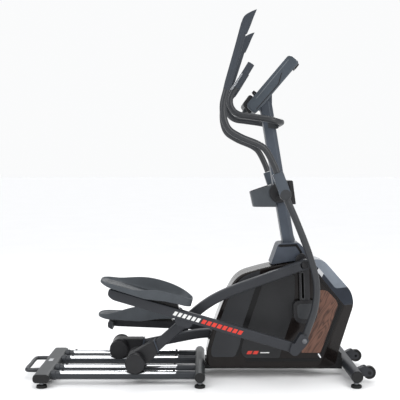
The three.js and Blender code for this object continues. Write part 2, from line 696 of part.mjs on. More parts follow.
function linkFrame(side) {
  const { linkPin } = poseOf(side);
  const bolt = swingBolt(linkPin);
  const angle = Math.atan2(bolt.z - linkPin.z, bolt.x - linkPin.x) - LINK_OFFSET;
  return { origin: linkPin, angle, bolt };
}

function addFootLink(side) {
  const { origin, angle, bolt } = linkFrame(side);
  const put = (points) => place(points, angle, origin);
  const low = LINK_TUBE_UP - LINK_TUBE.height / 2;
  const high = LINK_TUBE_UP + LINK_TUBE.height / 2;
  const rear = -373;
  const tube = sideSlab(
    put(roundedOutline([[rear, low, 16], [528, low, 0], [528, high, 0], [rear, high, 16]], 16, 3)),
    onSide(side.sign, LINK_TUBE.inner, LINK_TUBE.outer));
  const heel = sideSlab(
    put(roundedOutline([
      [rear + 2, low + 2, 12], [rear + 28, low + 2, 6], [rear + 28, high - 2, 6], [rear + 2, high - 2, 12],
    ], 8, 2)),
    onSide(side.sign, 134, LINK_TUBE.outer - 4));
  const bracket = sideSlab(put([[-205, high - 6], [-34, high - 6], [-50, 69], [-112, 62], [-205, 53.6]]),
    onSide(side.sign, 196, 240));
  const plateOutline = roundedOutline([
    [512, low, 3], [528, low - 9, 8], [546, low - 6, 8], [577, 62, 14], [575, 97, 16], [534, 104, 12],
    [523, high + 3, 3], [512, high, 3],
  ], 10, 3);
  const plates = [[212, 217], [263, 268]].map(([near, far]) => (
    sideSlab(put(plateOutline), onSide(side.sign, near, far), [circle(bolt.x, bolt.z, 6.8, 10)])));
  const block = sideSlab(
    put([[508, low], [530, low], [530, high], [508, high]]), onSide(side.sign, 212, 268));
  const lug = sideSlab(put(roundedOutline([[-34, -26, 20], [34, -26, 20], [48, 12, 4], [-48, 12, 4]], 10, 4)),
    onSide(side.sign, LINK_PIN_END, LINK_TUBE.outer - 4));
  add(`foot_link_${side.name}`, join(tube, heel, bracket, block, ...plates, lug), ...PAINT);
}

function addPedal(side) {
  const { origin, angle } = linkFrame(side);
  const put = (points) => place(points, angle, origin);
  const [yLow, yHigh] = onSide(side.sign, 128, 286);
  const underside = [[-418, 68], [-372, 58], [-202, 54.5], [-112, 71], [6, 86]];
  const floor = [[12, 96], [-100, 91], [-200, 78], [-430, 73]];
  const innerRim = [[14, 100], [-4, 110], [-33, 123], [-86, 135], [-137, 138], [-186, 137], [-234, 130],
    [-280, 116], [-346, 92], [-430, 80]];
  const block = sideSlab(put([...underside, ...innerRim]), [yLow, yHigh]);
  const aboveFloor = sideSlab(put([...floor.slice().reverse(), [60, 160], [-460, 160]]), [yLow, yHigh]);
  const aboveRim = sideSlab(put([
    [-460, 80], [-270, 80], [-212, 95], [-168, 110], [-122, 116], [40, 119], [40, 200], [-460, 200],
  ]), onSide(side.sign, 190, 300));
  const plan = (inset) => {
    const ends = place([[-424 + inset, 70], [16 - inset, 90]], angle, origin);
    const rear = ends[0][0];
    const front = ends[1][0];
    const low = yLow + inset;
    const high = yHigh - inset;
    return planSlab(roundedOutline([
      [rear, low, 62], [front, low, 62], [front, high, 62], [rear, high, 62],
    ], 60, 6), origin.z - 300, origin.z + 500);
  };
  const dish = common(aboveFloor, plan(6));
  add(`pedal_${side.name}`, cut(common(block, plan(0)), dish, aboveRim), ...PLASTIC);
}

// ---------------------------------------------------------------- swing arms

// Side-on points relative to the swing pivot, with the lower bolt straight below it.
const SWING_LOWER = [
  [0, -8], [36, -131], [74, -289], [90, -400], [87, -468], [67, -546], [24, -636], [0, -SWING_LENGTH],
];
const SLEEVE_TOP = [-23, 102];
const HANDLE_LINE = [
  [-24, 104, 262], [-37, 150, 264], [-65, 217, 272], [-92, 243, 278], [-169, 287, 296], [-218, 328, 304],
  [-233, 375, HANDLE_Y], [-230, 441, HANDLE_Y], [-206, 505, HANDLE_Y],
  [-140, 656, HANDLE_Y], [-76, 805, HANDLE_Y],
];

function swingPoint(side, angle, [t, s, y]) {
  const [[x, z]] = place([[t, s]], angle, SWING_PIVOT);
  return [x, side.sign * y, z];
}

function addSwingArm(side) {
  const { bolt } = linkFrame(side);
  const angle = Math.atan2(bolt.x - SWING_PIVOT.x, SWING_PIVOT.z - bolt.z);
  const { x, z } = SWING_PIVOT;
  const count = SWING_LOWER.length - 1;
  const lowerLine = SWING_LOWER.map(([t, s], index) => (
    swingPoint(side, angle, [t, s, 254 + ((SWING_LOWER_Y - 254) * index) / count])));
  const tube = bentTube(lowerLine, SWING_TUBE_RADIUS, 11, 8);
  const hub = barY(x, z, SWING_HUB.radius, onSide(side.sign, SWING_HUB.inner, SWING_HUB.outer), 16);
  const eye = barY(bolt.x, bolt.z, 20, onSide(side.sign, 218, 262), 14);
  const lean = Math.atan2(SLEEVE_TOP[1], SLEEVE_TOP[0]);
  const sleeve = sideSlab(place(place([[0, -25], [105, -25], [105, 25], [0, 25]], lean, { x: 0, z: 0 }),
    angle, SWING_PIVOT), onSide(side.sign, 243, 279));
  const axleBore = barY(x, z, 12 + GAP, onSide(side.sign, 200, SWING_HUB.outer - 5), 16);
  const pin = barY(bolt.x, bolt.z, 6, onSide(side.sign, 210, 270), 10);
  const arm = cut(join(tube, hub, sleeve, eye), axleBore);
  add(`swing_arm_${side.name}`, join(arm, pin), ...PAINT);

  const line = HANDLE_LINE.map((point) => swingPoint(side, angle, point));
  add(`swing_handle_${side.name}`, bentTube(line, SWING_TUBE_RADIUS - 1, 22, 8), ...PAINT);

  const gripLine = HANDLE_LINE.slice(-3).map((point) => swingPoint(side, angle, point));
  const gripEnd = swingPoint(side, angle, [-70, 818, HANDLE_Y]);
  const shell = bentTube([...gripLine, gripEnd], GRIP_RADIUS, 4, 10);
  const beak = sideSlab(place(roundedOutline([
    [-96, 800, 5], [-55, 792, 4], [-22, 843, 5], [-52, 836, 12], [-80, 818, 14],
  ], 6, 3), angle, SWING_PIVOT), onSide(side.sign, HANDLE_Y - 15, HANDLE_Y + 15));
  const below = swingPoint(side, angle, [-228, 455, HANDLE_Y]);
  const core = bentTube([below, ...gripLine, swingPoint(side, angle, [-75.5, 806, HANDLE_Y])],
    SWING_TUBE_RADIUS + 0.5, 5, 10);
  add(`swing_grip_${side.name}`, cut(join(shell, beak), core), ...FOAM);
}

// ---------------------------------------------------------------- assembly

addBase();
addMainFrame();
addHousing();
addMast();
addMastCover();
addSwingAxle();
addAxleShroud();
addCupHolder();
addFixedHandlebar();
addConsole();
addCrank();
SIDES.forEach((side) => {
  addTransportWheel(side);
  addRails(side);
  addWoodPanel(side);
  addCrankArm(side);
  addRollerArm(side);
  addRoller(side);
  addFootLink(side);
  addPedal(side);
  addSwingArm(side);
});

export default group;
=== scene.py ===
"""Looks of the elliptical trainer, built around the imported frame.

The frame is in metres. Sizes below are written in millimetres, as on a drawing, and
scaled by MM when a mesh is made. +X is forward, +Y is the user's left, +Z is up.
"""

import math

import bmesh
import bpy
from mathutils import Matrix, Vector


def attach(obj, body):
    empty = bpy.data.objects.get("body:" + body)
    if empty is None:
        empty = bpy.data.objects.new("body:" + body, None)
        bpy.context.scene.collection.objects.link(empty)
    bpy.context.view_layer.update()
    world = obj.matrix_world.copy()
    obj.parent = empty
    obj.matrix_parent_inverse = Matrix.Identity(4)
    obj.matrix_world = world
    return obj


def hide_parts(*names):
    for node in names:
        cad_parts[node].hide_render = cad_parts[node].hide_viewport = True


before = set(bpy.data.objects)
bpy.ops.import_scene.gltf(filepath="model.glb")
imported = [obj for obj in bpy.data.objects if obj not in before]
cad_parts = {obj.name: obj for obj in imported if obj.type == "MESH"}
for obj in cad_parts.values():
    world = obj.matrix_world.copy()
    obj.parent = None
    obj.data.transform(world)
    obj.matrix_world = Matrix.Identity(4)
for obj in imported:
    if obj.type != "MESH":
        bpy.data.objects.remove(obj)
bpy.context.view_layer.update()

MM = 0.001
SIDES = (("right", -1, 0.0), ("left", 1, math.pi))

# ------------------------------------------------------------------ sizes, as in the CAD model

CRANK = {"x": 513, "z": 333, "radius": 231, "lean": -0.037}
CRANK_ARM_OUTER = 111
ROLLER_HEIGHT = 103
ARM_LENGTH = 926
LINK_PIN_ON_ARM = (303, 67)
SWING_PIVOT = (397, 900)
SWING_BOLT_RIGHT = (489, 224)
LINK_TUBE_ANGLE = -0.288
LINK_TUBE = {"inner": 226.5, "outer": 253.5, "low": 2.5, "high": 49.5, "rear": -373, "front": 528}
ROLLER_ARM = {"inner": 118.5, "outer": 161.5, "height": 47}
ARM_LINE = [(6, -12), (132, 13), (250, 37), (330, 53), (395, 65), (463, 70), (535, 66), (610, 56),
            (720, 36), (926, 0)]
HOUSING_HALF = 85
HOUSING_EDGE = 10
FRONT_BEVEL = {"depth": 35, "run": 60}
SWING_TUBE_RADIUS = 16
HANDLE_Y = 305
SWING_LOWER = [(0, -8), (36, -131), (74, -289), (90, -400), (87, -468), (67, -546), (24, -636)]
HANDLE_LINE = [(-24, 104, 262), (-37, 150, 264), (-65, 217, 272), (-92, 243, 278), (-169, 287, 296),
               (-218, 328, 304), (-233, 375, 305), (-230, 441, 305), (-206, 505, 305),
               (-140, 656, 305), (-76, 805, 305)]
STABILISER_HALF = 264
FOOT_Y = 240
REAR_BAR = {"x": -731, "z": 46, "width": 78, "height": 40}
MIDDLE_BAR = {"x": 6, "z": 50, "radius": 24}
FRONT_BAR = {"x": 735, "z": 54, "radius": 28}
LIFT_HANDLE = {"x": -833, "half": 115, "z": 48, "radius": 10}
RAIL = {"z": 47, "radius": 20.5, "rows": (("inner", 85), ("outer", 195))}
RAIL_COVER = {"rear": -654, "front": -102, "radius": 22, "spread": 1.13}
WHEEL = {"radius": 33.7, "flange": 36.4, "width": 24}
ROLLER_COVER = {"radius": 45, "inner": 58, "outer": 222}
TRANSPORT = {"x": 812, "z": 50, "y": 160, "radius": 31, "width": 22}
MAST = {"depth": 60, "width": 76, "bottom": 578, "top": 1345, "base": 455, "lean": -0.169}
CONSOLE = {"x": 350, "z": 1417, "length": 322, "thick": 58, "half": 125, "tilt": 0.867}
CREASE = ((577, 512), (704, 359), (599, 102))
CAP_END = 438
CAP_EDGE = [(688, 438, 0), (664, 438, 20), (604, 511, 0), (580, 536, 0)]

# ------------------------------------------------------------------ flat outlines and paths


def place(points, angle, origin):
    """Turns (x, z) points from +X towards +Z and moves them to an origin."""
    c, s = math.cos(angle), math.sin(angle)
    return [(origin[0] + x * c - z * s, origin[1] + x * s + z * c) for x, z in points]


def rounded(points, radius, steps=6):
    """Closed outline with rounded corners; a corner may carry its own radius."""
    outline = []
    for i, point in enumerate(points):
        corner = Vector(point[:2])
        back = Vector(points[i - 1][:2]) - corner
        ahead = Vector(points[(i + 1) % len(points)][:2]) - corner
        wanted = point[2] if len(point) > 2 else radius
        reach = min(wanted, back.length / 2.1, ahead.length / 2.1)
        if reach == 0:
            outline.append(tuple(corner))
            continue
        start = corner + back.normalized() * reach
        end = corner + ahead.normalized() * reach
        for k in range(steps + 1):
            t = k / steps
            outline.append(tuple((1 - t) ** 2 * start + 2 * t * (1 - t) * corner + t * t * end))
    return outline


def rectangle(x, z, width, height):
    """Corners of an upright rectangle round its centre."""
    return [(x + a * width / 2, z + b * height / 2) for a, b in ((-1, -1), (1, -1), (1, 1), (-1, 1))]


def circle(x, z, radius, count=32):
    turn = 2 * math.pi / count
    return [(x + radius * math.cos(turn * i), z + radius * math.sin(turn * i)) for i in range(count)]


def smooth_path(points, count):
    """Centripetal Catmull-Rom curve through the points, in equal steps of length."""
    knots = [Vector(p) for p in points]
    knots = [knots[0] * 2 - knots[1]] + knots + [knots[-1] * 2 - knots[-2]]
    dense = []
    for p0, p1, p2, p3 in zip(knots, knots[1:], knots[2:], knots[3:]):
        a, b, c = (math.sqrt((q - p).length) for p, q in ((p0, p1), (p1, p2), (p2, p3)))
        start = ((p1 - p0) / a - (p2 - p0) / (a + b) + (p2 - p1) / b) * b
        end = ((p2 - p1) / b - (p3 - p1) / (b + c) + (p3 - p2) / c) * b
        for k in range(20):
            t = k / 20
            dense.append(p1 * (2 * t ** 3 - 3 * t ** 2 + 1) + start * (t ** 3 - 2 * t ** 2 + t)
                         + p2 * (3 * t ** 2 - 2 * t ** 3) + end * (t ** 3 - t ** 2))
    dense.append(knots[-2])
    return even_steps(dense, count)


def even_steps(dense, count):
    """Points at equal steps of length along a dense path."""
    travelled = [0.0]
    for p, q in zip(dense, dense[1:]):
        travelled.append(travelled[-1] + (q - p).length)
    path = []
    j = 0
    for i in range(count + 1):
        wanted = travelled[-1] * i / count
        while j < len(dense) - 2 and travelled[j + 1] < wanted:
            j += 1
        share = (wanted - travelled[j]) / max(travelled[j + 1] - travelled[j], 1e-9)
        path.append(dense[j].lerp(dense[j + 1], min(share, 1.0)))
    return path


def level(table, x):
    """Value at x of a line given as (x, value) pairs in rising x."""
    if x <= table[0][0]:
        return table[0][1]
    for (xa, va), (xb, vb) in zip(table, table[1:]):
        if x <= xb:
            return va + (vb - va) * (x - xa) / (xb - xa)
    return table[-1][1]


def smooth_level(table, x, reach=22):
    """The same line with its corners rounded over a reach to either side."""
    return sum(level(table, x + reach * k / 4) for k in range(-4, 5)) / 9


# ------------------------------------------------------------------ shapes: (vertices, faces) in mm


def merged(*shapes):
    verts, faces = [], []
    for shape_verts, shape_faces in shapes:
        base = len(verts)
        verts.extend(shape_verts)
        faces.extend([tuple(base + i for i in face) for face in shape_faces])
    return verts, faces


def loft(rings, capped=True, closed=False):
    """Skin over rings of equal length."""
    count = len(rings[0])
    verts = [tuple(p) for ring in rings for p in ring]
    faces = []
    for r in range(len(rings) - (0 if closed else 1)):
        low = r * count
        high = ((r + 1) % len(rings)) * count
        for i in range(count):
            j = (i + 1) % count
            faces.append((low + i, low + j, high + j, high + i))
    if capped and not closed:
        faces.append(tuple(range(count - 1, -1, -1)))
        faces.append(tuple(range((len(rings) - 1) * count, len(rings) * count)))
    return verts, faces


def slab(outline, sign, near, far):
    """(x, z) outline carried from one distance off the middle plane to another."""
    return loft([[(x, sign * y, z) for x, z in outline] for y in (near, far)])


def ring_slab(outer, inner, sign, near, far):
    """Flat rim between two outlines that have the same number of points."""
    rings = [[(x, sign * y, z) for x, z in outline]
             for outline, y in ((outer, near), (outer, far), (inner, far), (inner, near))]
    return loft(rings, closed=True)


def plan_slab(outline, low, high):
    return loft([[(x, y, z) for x, y in outline] for z in (low, high)])


def turned(profile, centre, axis="y", count=40, sign=1):
    """Solid of revolution from (radius, distance along the axis) pairs."""
    rings = []
    for radius, along in profile:
        ring = []
        for i in range(count):
            a = 2 * math.pi * i / count
            u, v = max(radius, 0.01) * math.cos(a), max(radius, 0.01) * math.sin(a)
            along_axis = sign * along
            if axis == "x":
                ring.append((centre[0] + along_axis, centre[1] + u, centre[2] + v))
            elif axis == "y":
                ring.append((centre[0] + u, centre[1] + along_axis, centre[2] + v))
            else:
                ring.append((centre[0] + u, centre[1] + v, centre[2] + along_axis))
        rings.append(ring)
    return loft(rings)


def rod_y(x, z, radius, sign, near, far, edge=1.5, count=40):
    """Round bar across the machine with softened ends."""
    e = min(edge, radius / 2)
    profile = [(radius - e, near), (radius - e * 0.3, near + e * 0.3), (radius, near + e),
               (radius, far - e), (radius - e * 0.3, far - e * 0.3), (radius - e, far)]
    return turned(profile, (x, 0, z), "y", count, sign)


def frames_along(path, first=Vector((0, 1, 0))):
    """A pair of cross directions at each point, carried along without twist."""
    frames = []
    side = first
    for i in range(len(path)):
        ahead = path[min(i + 1, len(path) - 1)] - path[max(i - 1, 0)]
        ahead.normalize()
        side = (side - ahead * side.dot(ahead)).normalized()
        frames.append((side, ahead.cross(side)))
    return frames


def sweep(path, section):
    """Carries a cross-section, points (a, b) or a function of the share of the way, along a path."""
    rings = []
    for i, (point, (side, up)) in enumerate(zip(path, frames_along(path))):
        flat = section(i / (len(path) - 1)) if callable(section) else section
        rings.append([point + side * a + up * b for a, b in flat])
    return loft(rings)


def tube(points, radius, steps=60, count=20):
    return sweep(smooth_path(points, steps), circle(0, 0, radius, count))


# ------------------------------------------------------------------ looks


def node(tree, kind, vector=None, **inputs):
    """Shader node with some inputs set and, when one is given, its vector input linked."""
    made = tree.nodes.new(kind)
    for key, value in inputs.items():
        made.inputs[key].default_value = value
    if vector:
        tree.links.new(vector, made.inputs["Vector"])
    return made


def calculated(tree, operation, source, value):
    made = tree.nodes.new("ShaderNodeMath")
    made.operation = operation
    made.inputs[1].default_value = value
    tree.links.new(source, made.inputs[0])
    return made.outputs["Value"]


def colored(tree, factor, target, *stops):
    """Colours a target input through two or more (position, colour) stops."""
    ramp = tree.nodes.new("ShaderNodeValToRGB")
    elements = ramp.color_ramp.elements
    for i, (position, color) in enumerate((stops[0], stops[-1])):
        elements[i].position = position
        elements[i].color = (*color, 1)
    for position, color in stops[1:-1]:
        elements.new(position).color = (*color, 1)
    tree.links.new(factor, ramp.inputs["Fac"])
    tree.links.new(ramp.outputs["Color"], target)


def bumped(tree, shader, height, strength, distance):
    bump = node(tree, "ShaderNodeBump", Strength=strength, Distance=distance)
    tree.links.new(height, bump.inputs["Height"])
    tree.links.new(bump.outputs["Normal"], shader.inputs["Normal"])


def base_material(name, roughness, metallic, specular, coat=0.0):
    """New material with its node tree, its shader and the object's own coordinates."""
    material = bpy.data.materials.new(name)
    material.use_nodes = True
    tree = material.node_tree
    shader = tree.nodes["Principled BSDF"]
    inputs = {"Roughness": roughness, "Metallic": metallic, "Specular IOR Level": specular,
              "Coat Weight": coat, "Coat Roughness": 0.08}
    for key, value in inputs.items():
        shader.inputs[key].default_value = value
    coords = tree.nodes.new("ShaderNodeTexCoord")
    return material, tree, shader, coords.outputs["Object"]


def finish_material(name, color, roughness, metallic, specular, grain, blotch, coat=0.0, stretch=(1, 1, 1)):
    """Painted, moulded or metal finish.

    The grain (scale, strength) is in the bump; the blotches (scale, strength) are slow changes in
    colour and gloss.
    """
    material, tree, shader, coords = base_material(name, roughness, metallic, specular, coat)
    mapping = node(tree, "ShaderNodeMapping", coords, Scale=stretch).outputs["Vector"]
    noise = node(tree, "ShaderNodeTexNoise", mapping, Scale=blotch[0], Detail=5.0, Roughness=0.6)
    slow = noise.outputs["Fac"]
    fine = node(tree, "ShaderNodeTexNoise", mapping, Scale=grain[0], Detail=3.0, Roughness=0.55)
    low = [c * (1 - blotch[1]) for c in color]
    high = [min(c * (1 + blotch[1]), 1) for c in color]
    colored(tree, slow, shader.inputs["Base Color"], (0.3, low), (0.7, high))
    gloss = node(tree, "ShaderNodeMapRange",
                 **{"To Min": roughness * 0.88, "To Max": min(roughness * 1.16, 1.0)})
    tree.links.new(slow, gloss.inputs["Value"])
    tree.links.new(gloss.outputs["Result"], shader.inputs["Roughness"])
    bumped(tree, shader, fine.outputs["Fac"], grain[1], 0.0002)
    return material


def wood_material(name):
    """Walnut: thin dark lines along a slanting grain that bend round slow swirls, with fine pores."""
    material, tree, shader, coords = base_material(name, 0.42, 0.0, 0.35)
    slant = node(tree, "ShaderNodeMapping", coords, Rotation=(0, math.radians(-30), 0)).outputs["Vector"]
    turn = node(tree, "ShaderNodeMapping", slant, Scale=(17, 17, 2.6)).outputs["Vector"]
    swirl = node(tree, "ShaderNodeTexNoise", turn, Scale=1.0, Detail=2.5, Roughness=0.5, Distortion=0.25)
    rings = calculated(tree, "PINGPONG", calculated(tree, "MULTIPLY", swirl.outputs["Fac"], 34.0), 1.0)
    fibre = node(tree, "ShaderNodeMapping", slant, Scale=(520, 520, 18)).outputs["Vector"]
    pores = node(tree, "ShaderNodeTexNoise", fibre, Scale=1.0, Detail=4.0, Roughness=0.7).outputs["Fac"]
    blend = tree.nodes.new("ShaderNodeMix")
    blend.data_type = "FLOAT"
    blend.inputs["Factor"].default_value = 0.5
    tree.links.new(rings, blend.inputs["A"])
    tree.links.new(pores, blend.inputs["B"])
    colored(tree, blend.outputs["Result"], shader.inputs["Base Color"], (0.26, (0.042, 0.019, 0.013)),
            (0.46, (0.108, 0.049, 0.032)), (0.85, (0.155, 0.073, 0.049)))
    bumped(tree, shader, pores, 0.25, 0.0008)
    return material


def dotted_material(name, color, roughness, spacing):
    """Metal plate with rows of small dimples, painted darker inside as shade."""
    material, tree, shader, coords = base_material(name, roughness, 1.0, 0.5)
    cells = node(tree, "ShaderNodeTexVoronoi", coords, Scale=1 / spacing, Randomness=0.0).outputs["Distance"]
    dimple_shade = [c * 0.4 for c in color]
    # the dimples are painted darker, as the shade in their hollows
    colored(tree, cells, shader.inputs["Base Color"], (0.25, dimple_shade), (0.4, color))
    bumped(tree, shader, cells, 0.6, 0.0008)
    return material


GRAIN, BLOTCH = (900, 0.15), (14, 0.12)
# by slot, then by look: material, colour, roughness, metallic, specular, grain, blotch
FINISHES = {
    "frame_paint": {
        "paint": ("satin_paint", (0.055, 0.066, 0.084), 0.38, 0.2, 0.35, GRAIN, BLOTCH),
        "tube_paint": ("gloss_tube_paint", (0.01, 0.012, 0.0155), 0.4, 0.0, 0.6, GRAIN, BLOTCH),
        "sleeve_paint": ("sleeve_paint", (0.052, 0.063, 0.078), 0.33, 0.1, 0.45, GRAIN, BLOTCH),
        "frame_black": ("frame_black", (0.008, 0.008, 0.0085), 0.4, 0.0, 0.25, GRAIN, BLOTCH),
        "arm_paint": ("arm_paint", (0.028, 0.03, 0.035), 0.42, 0.1, 0.3, GRAIN, BLOTCH),
        "bar_paint": ("bar_paint", (0.03, 0.033, 0.035), 0.42, 0.1, 0.55, GRAIN, BLOTCH),
        "white": ("white_print", (0.74, 0.74, 0.73), 0.45, 0.0, 0.5, (900, 0.1), (30, 0.04)),
        "label": ("blank_label", (0.42, 0.43, 0.44), 0.5, 0.0, 0.5, (900, 0.1), (30, 0.04)),
        "red": ("red_print", (0.62, 0.03, 0.015), 0.45, 0.0, 0.5, (900, 0.1), (30, 0.06)),
    },
    "crank_paint": {
        "crank_paint": ("crank_paint", (0.02, 0.02, 0.022), 0.36, 0.0, 0.3, GRAIN, BLOTCH),
        # lighter copy of the crank paint: painted highlight on the rim round the slot
        "crank_painted_highlight": ("crank_painted_highlight", (0.036, 0.037, 0.04), 0.34, 0.0, 0.4, GRAIN, BLOTCH),
        # near-black sheet: painted shadow at the bottom of the crank slot
        "slot_shade_black": ("painted_slot_shade", (0.003, 0.003, 0.003), 0.8, 0.0, 0.05, (900, 0.05), BLOTCH),
    },
    "rail_paint": {
        "rail_paint": ("rail_paint", (0.026, 0.029, 0.034), 0.34, 0.1, 0.4, GRAIN, BLOTCH),
    },
    "steel": {
        "steel": ("turned_steel", (0.16, 0.165, 0.175), 0.35, 1.0, 0.5, (700, 0.1), BLOTCH),
    },
    "foot_rubber": {
        "rubber": ("foot_rubber", (0.01, 0.01, 0.01), 0.65, 0.0, 0.3, (700, 0.3), BLOTCH),
    },
    "wheel_plastic": {
        "nylon": ("wheel_nylon", (0.008, 0.008, 0.0085), 0.42, 0.0, 0.3, (800, 0.2), BLOTCH),
    },
    "roller_tread": {
        "tread": ("roller_tread", (0.03, 0.03, 0.031), 0.6, 0.0, 0.3, (600, 0.2), BLOTCH),
    },
    "housing_gloss": {
        "gloss": ("gloss_shell", (0.0095, 0.0075, 0.007), 0.14, 0.0, 0.2, (60, 0.02), (9, 0.25)),
        # black gloss of the bevelled front, tinted blue as a painted reflection
        "facet": ("gloss_facet_blue_reflection", (0.0165, 0.0205, 0.029), 0.14, 0.0, 0.25, (60, 0.02), (9, 0.25)),
        "panel": ("matte_panel", (0.016, 0.0165, 0.018), 0.48, 0.0, 0.3, (1400, 0.35), (5, 0.2)),
        "rear_panel": ("rear_panel", (0.026, 0.0275, 0.031), 0.5, 0.0, 0.3, (1400, 0.35), (5, 0.2)),
        "black": ("satin_black", (0.004, 0.004, 0.0045), 0.3, 0.0, 0.22, (900, 0.1), BLOTCH),
    },
    "cap_gloss": {
        "cap": ("cap_gloss", (0.18, 0.205, 0.24), 0.16, 0.3, 0.5, (300, 0.05), (7, 0.2)),
    },
    "cover_plastic": {
        "cover": ("textured_black", (0.013, 0.013, 0.0145), 0.36, 0.0, 0.3, (1100, 0.35), BLOTCH),
        "cup": ("cup_plastic", (0.044, 0.051, 0.059), 0.42, 0.0, 0.4, (1100, 0.35), BLOTCH),
        "gloss_cover": ("gloss_cover", (0.054, 0.064, 0.082), 0.4, 0.0, 0.22, (500, 0.05), BLOTCH),
        "hub_pad": ("hub_pad", (0.028, 0.03, 0.033), 0.3, 0.0, 0.35, GRAIN, BLOTCH),
    },
    "console_plastic": {
        "console": ("console_shell", (0.046, 0.058, 0.072), 0.3, 0.05, 0.4, (900, 0.01), BLOTCH),
        # light grey: painted highlight line along the console's top edge
        "console_painted_highlight": ("console_painted_highlight", (0.14, 0.155, 0.17), 0.3, 0.05, 0.5, (900, 0.01), BLOTCH),
        "button": ("button_rubber", (0.07, 0.075, 0.08), 0.55, 0.0, 0.5, (900, 0.2), BLOTCH),
    },
    "pedal_plastic": {
        "pedal": ("pedal_plastic", (0.052, 0.059, 0.067), 0.48, 0.0, 0.35, (1200, 0.45), BLOTCH),
        "pad": ("pedal_pad", (0.024, 0.028, 0.032), 0.5, 0.0, 0.35, (500, 0.6), BLOTCH),
    },
    "grip_foam": {
        "foam": ("grip_foam", (0.028, 0.034, 0.044), 0.6, 0.0, 0.35, (1500, 0.6), BLOTCH),
    },
}
LOOKS = {look: (finish_material(*finish), slot)
         for slot, finishes in FINISHES.items() for look, finish in finishes.items()}
LOOKS["chrome"] = (finish_material("polished_steel", (0.74, 0.75, 0.77), 0.18, 1.0, 0.5, (500, 0.01),
                                   (40, 0.03), stretch=(0.05, 1, 1)), "rail_chrome")
LOOKS["screen"] = (finish_material("dark_display", (0.004, 0.005, 0.008), 0.1, 0.0, 0.5, (50, 0.01),
                                   BLOTCH, coat=0.4), "screen")
LOOKS["wood"] = (wood_material("walnut_grain"), "wood_panel")
LOOKS["sensor"] = (dotted_material("sensor_plate", (0.4, 0.41, 0.43), 0.3, 0.0045), "rail_chrome")


def linked(name, data):
    """New object in the scene."""
    obj = bpy.data.objects.new(name, data)
    bpy.context.scene.collection.objects.link(obj)
    return obj


def piece(name, shape, look, body="frame", replaces=(), bevel=0.0, segments=2, sharp=34):
    """Makes a piece from vertices and faces in millimetres."""
    verts, faces = shape
    mesh = bpy.data.meshes.new(name)
    mesh.from_pydata([tuple(c * MM for c in v) for v in verts], [], faces)
    return dress(name, mesh, look, body, replaces, bevel, segments, sharp)


def dress(name, mesh, look, body, replaces, bevel, segments, sharp):
    """Softens the edges of a mesh, gives it its look and hangs it on its body."""
    bm = bmesh.new()
    bm.from_mesh(mesh)
    bmesh.ops.remove_doubles(bm, verts=bm.verts, dist=1e-5)
    bmesh.ops.recalc_face_normals(bm, faces=bm.faces)
    if bevel:
        edges = [e for e in bm.edges
                 if len(e.link_faces) == 2 and e.calc_face_angle(0) > math.radians(sharp)]
        bmesh.ops.bevel(bm, geom=edges, offset=bevel * MM, segments=segments, profile=0.6,
                        affect="EDGES", clamp_overlap=True)
    bm.to_mesh(mesh)
    bm.free()
    mesh.shade_smooth()
    mesh.set_sharp_from_angle(angle=math.radians(42))
    material, slot = LOOKS[look]
    mesh.materials.append(material)
    obj = linked(name, mesh)
    weighted = obj.modifiers.new("even_shading", "WEIGHTED_NORMAL")
    weighted.keep_sharp = True
    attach(obj, body)
    if replaces:
        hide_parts(*replaces)
    return obj


def refined(node_name, look, body, bevel, segments=2, sharp=25):
    """A CAD node with its facets joined up and its edges softened."""
    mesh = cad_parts[node_name].data.copy()
    mesh.materials.clear()
    bm = bmesh.new()
    bm.from_mesh(mesh)
    bmesh.ops.remove_doubles(bm, verts=bm.verts, dist=2e-5)
    bmesh.ops.dissolve_limit(bm, angle_limit=math.radians(1.0), verts=bm.verts, edges=bm.edges)
    bm.to_mesh(mesh)
    bm.free()
    return dress(node_name + "_fine", mesh, look, body, (node_name,), bevel, segments, sharp)


# ------------------------------------------------------------------ linkage at rest


def pose_of(phase):
    """Crank pin, roller, roller arm and foot-link pivot of one side at rest."""
    angle = CRANK["lean"] + phase
    pin = (CRANK["x"] + CRANK["radius"] * math.sin(angle), CRANK["z"] + CRANK["radius"] * math.cos(angle))
    rise = pin[1] - ROLLER_HEIGHT
    roller = (pin[0] - math.sqrt(ARM_LENGTH ** 2 - rise ** 2), ROLLER_HEIGHT)
    arm_angle = math.atan2(rise, pin[0] - roller[0])
    link_pin = place([LINK_PIN_ON_ARM], arm_angle, roller)[0]
    return {"pin": pin, "roller": roller, "arm_angle": arm_angle, "link_pin": link_pin,
            "crank_angle": -angle}


SWING_LENGTH = math.dist(SWING_PIVOT, SWING_BOLT_RIGHT)
RIGHT_LINK_PIN = pose_of(0)["link_pin"]
LINK_REACH = math.dist(SWING_BOLT_RIGHT, RIGHT_LINK_PIN)
LINK_OFFSET = math.atan2(SWING_BOLT_RIGHT[1] - RIGHT_LINK_PIN[1],
                         SWING_BOLT_RIGHT[0] - RIGHT_LINK_PIN[0]) - LINK_TUBE_ANGLE


def link_frame(phase):
    """Foot-link pivot, its bolt to the swing arm, and the slope of its tube."""
    pin = pose_of(phase)["link_pin"]
    dx, dz = pin[0] - SWING_PIVOT[0], pin[1] - SWING_PIVOT[1]
    distance = math.hypot(dx, dz)
    along = (SWING_LENGTH ** 2 - LINK_REACH ** 2 + distance ** 2) / (2 * distance)
    across = math.sqrt(SWING_LENGTH ** 2 - along ** 2)
    bolt = (SWING_PIVOT[0] + (along * dx - across * dz) / distance,
            SWING_PIVOT[1] + (along * dz + across * dx) / distance)
    angle = math.atan2(bolt[1] - pin[1], bolt[0] - pin[0]) - LINK_OFFSET
    return pin, bolt, angle


# ------------------------------------------------------------------ base


def screw_head(centre, axis, radius, height=3.0, sign=1):
    profile = [(radius, -1), (radius, height * 0.4), (radius * 0.8, height * 0.85), (radius * 0.4, height),
               (radius * 0.38, height * 0.5), (0, height * 0.45)]
    return turned(profile, centre, axis, 20, sign)


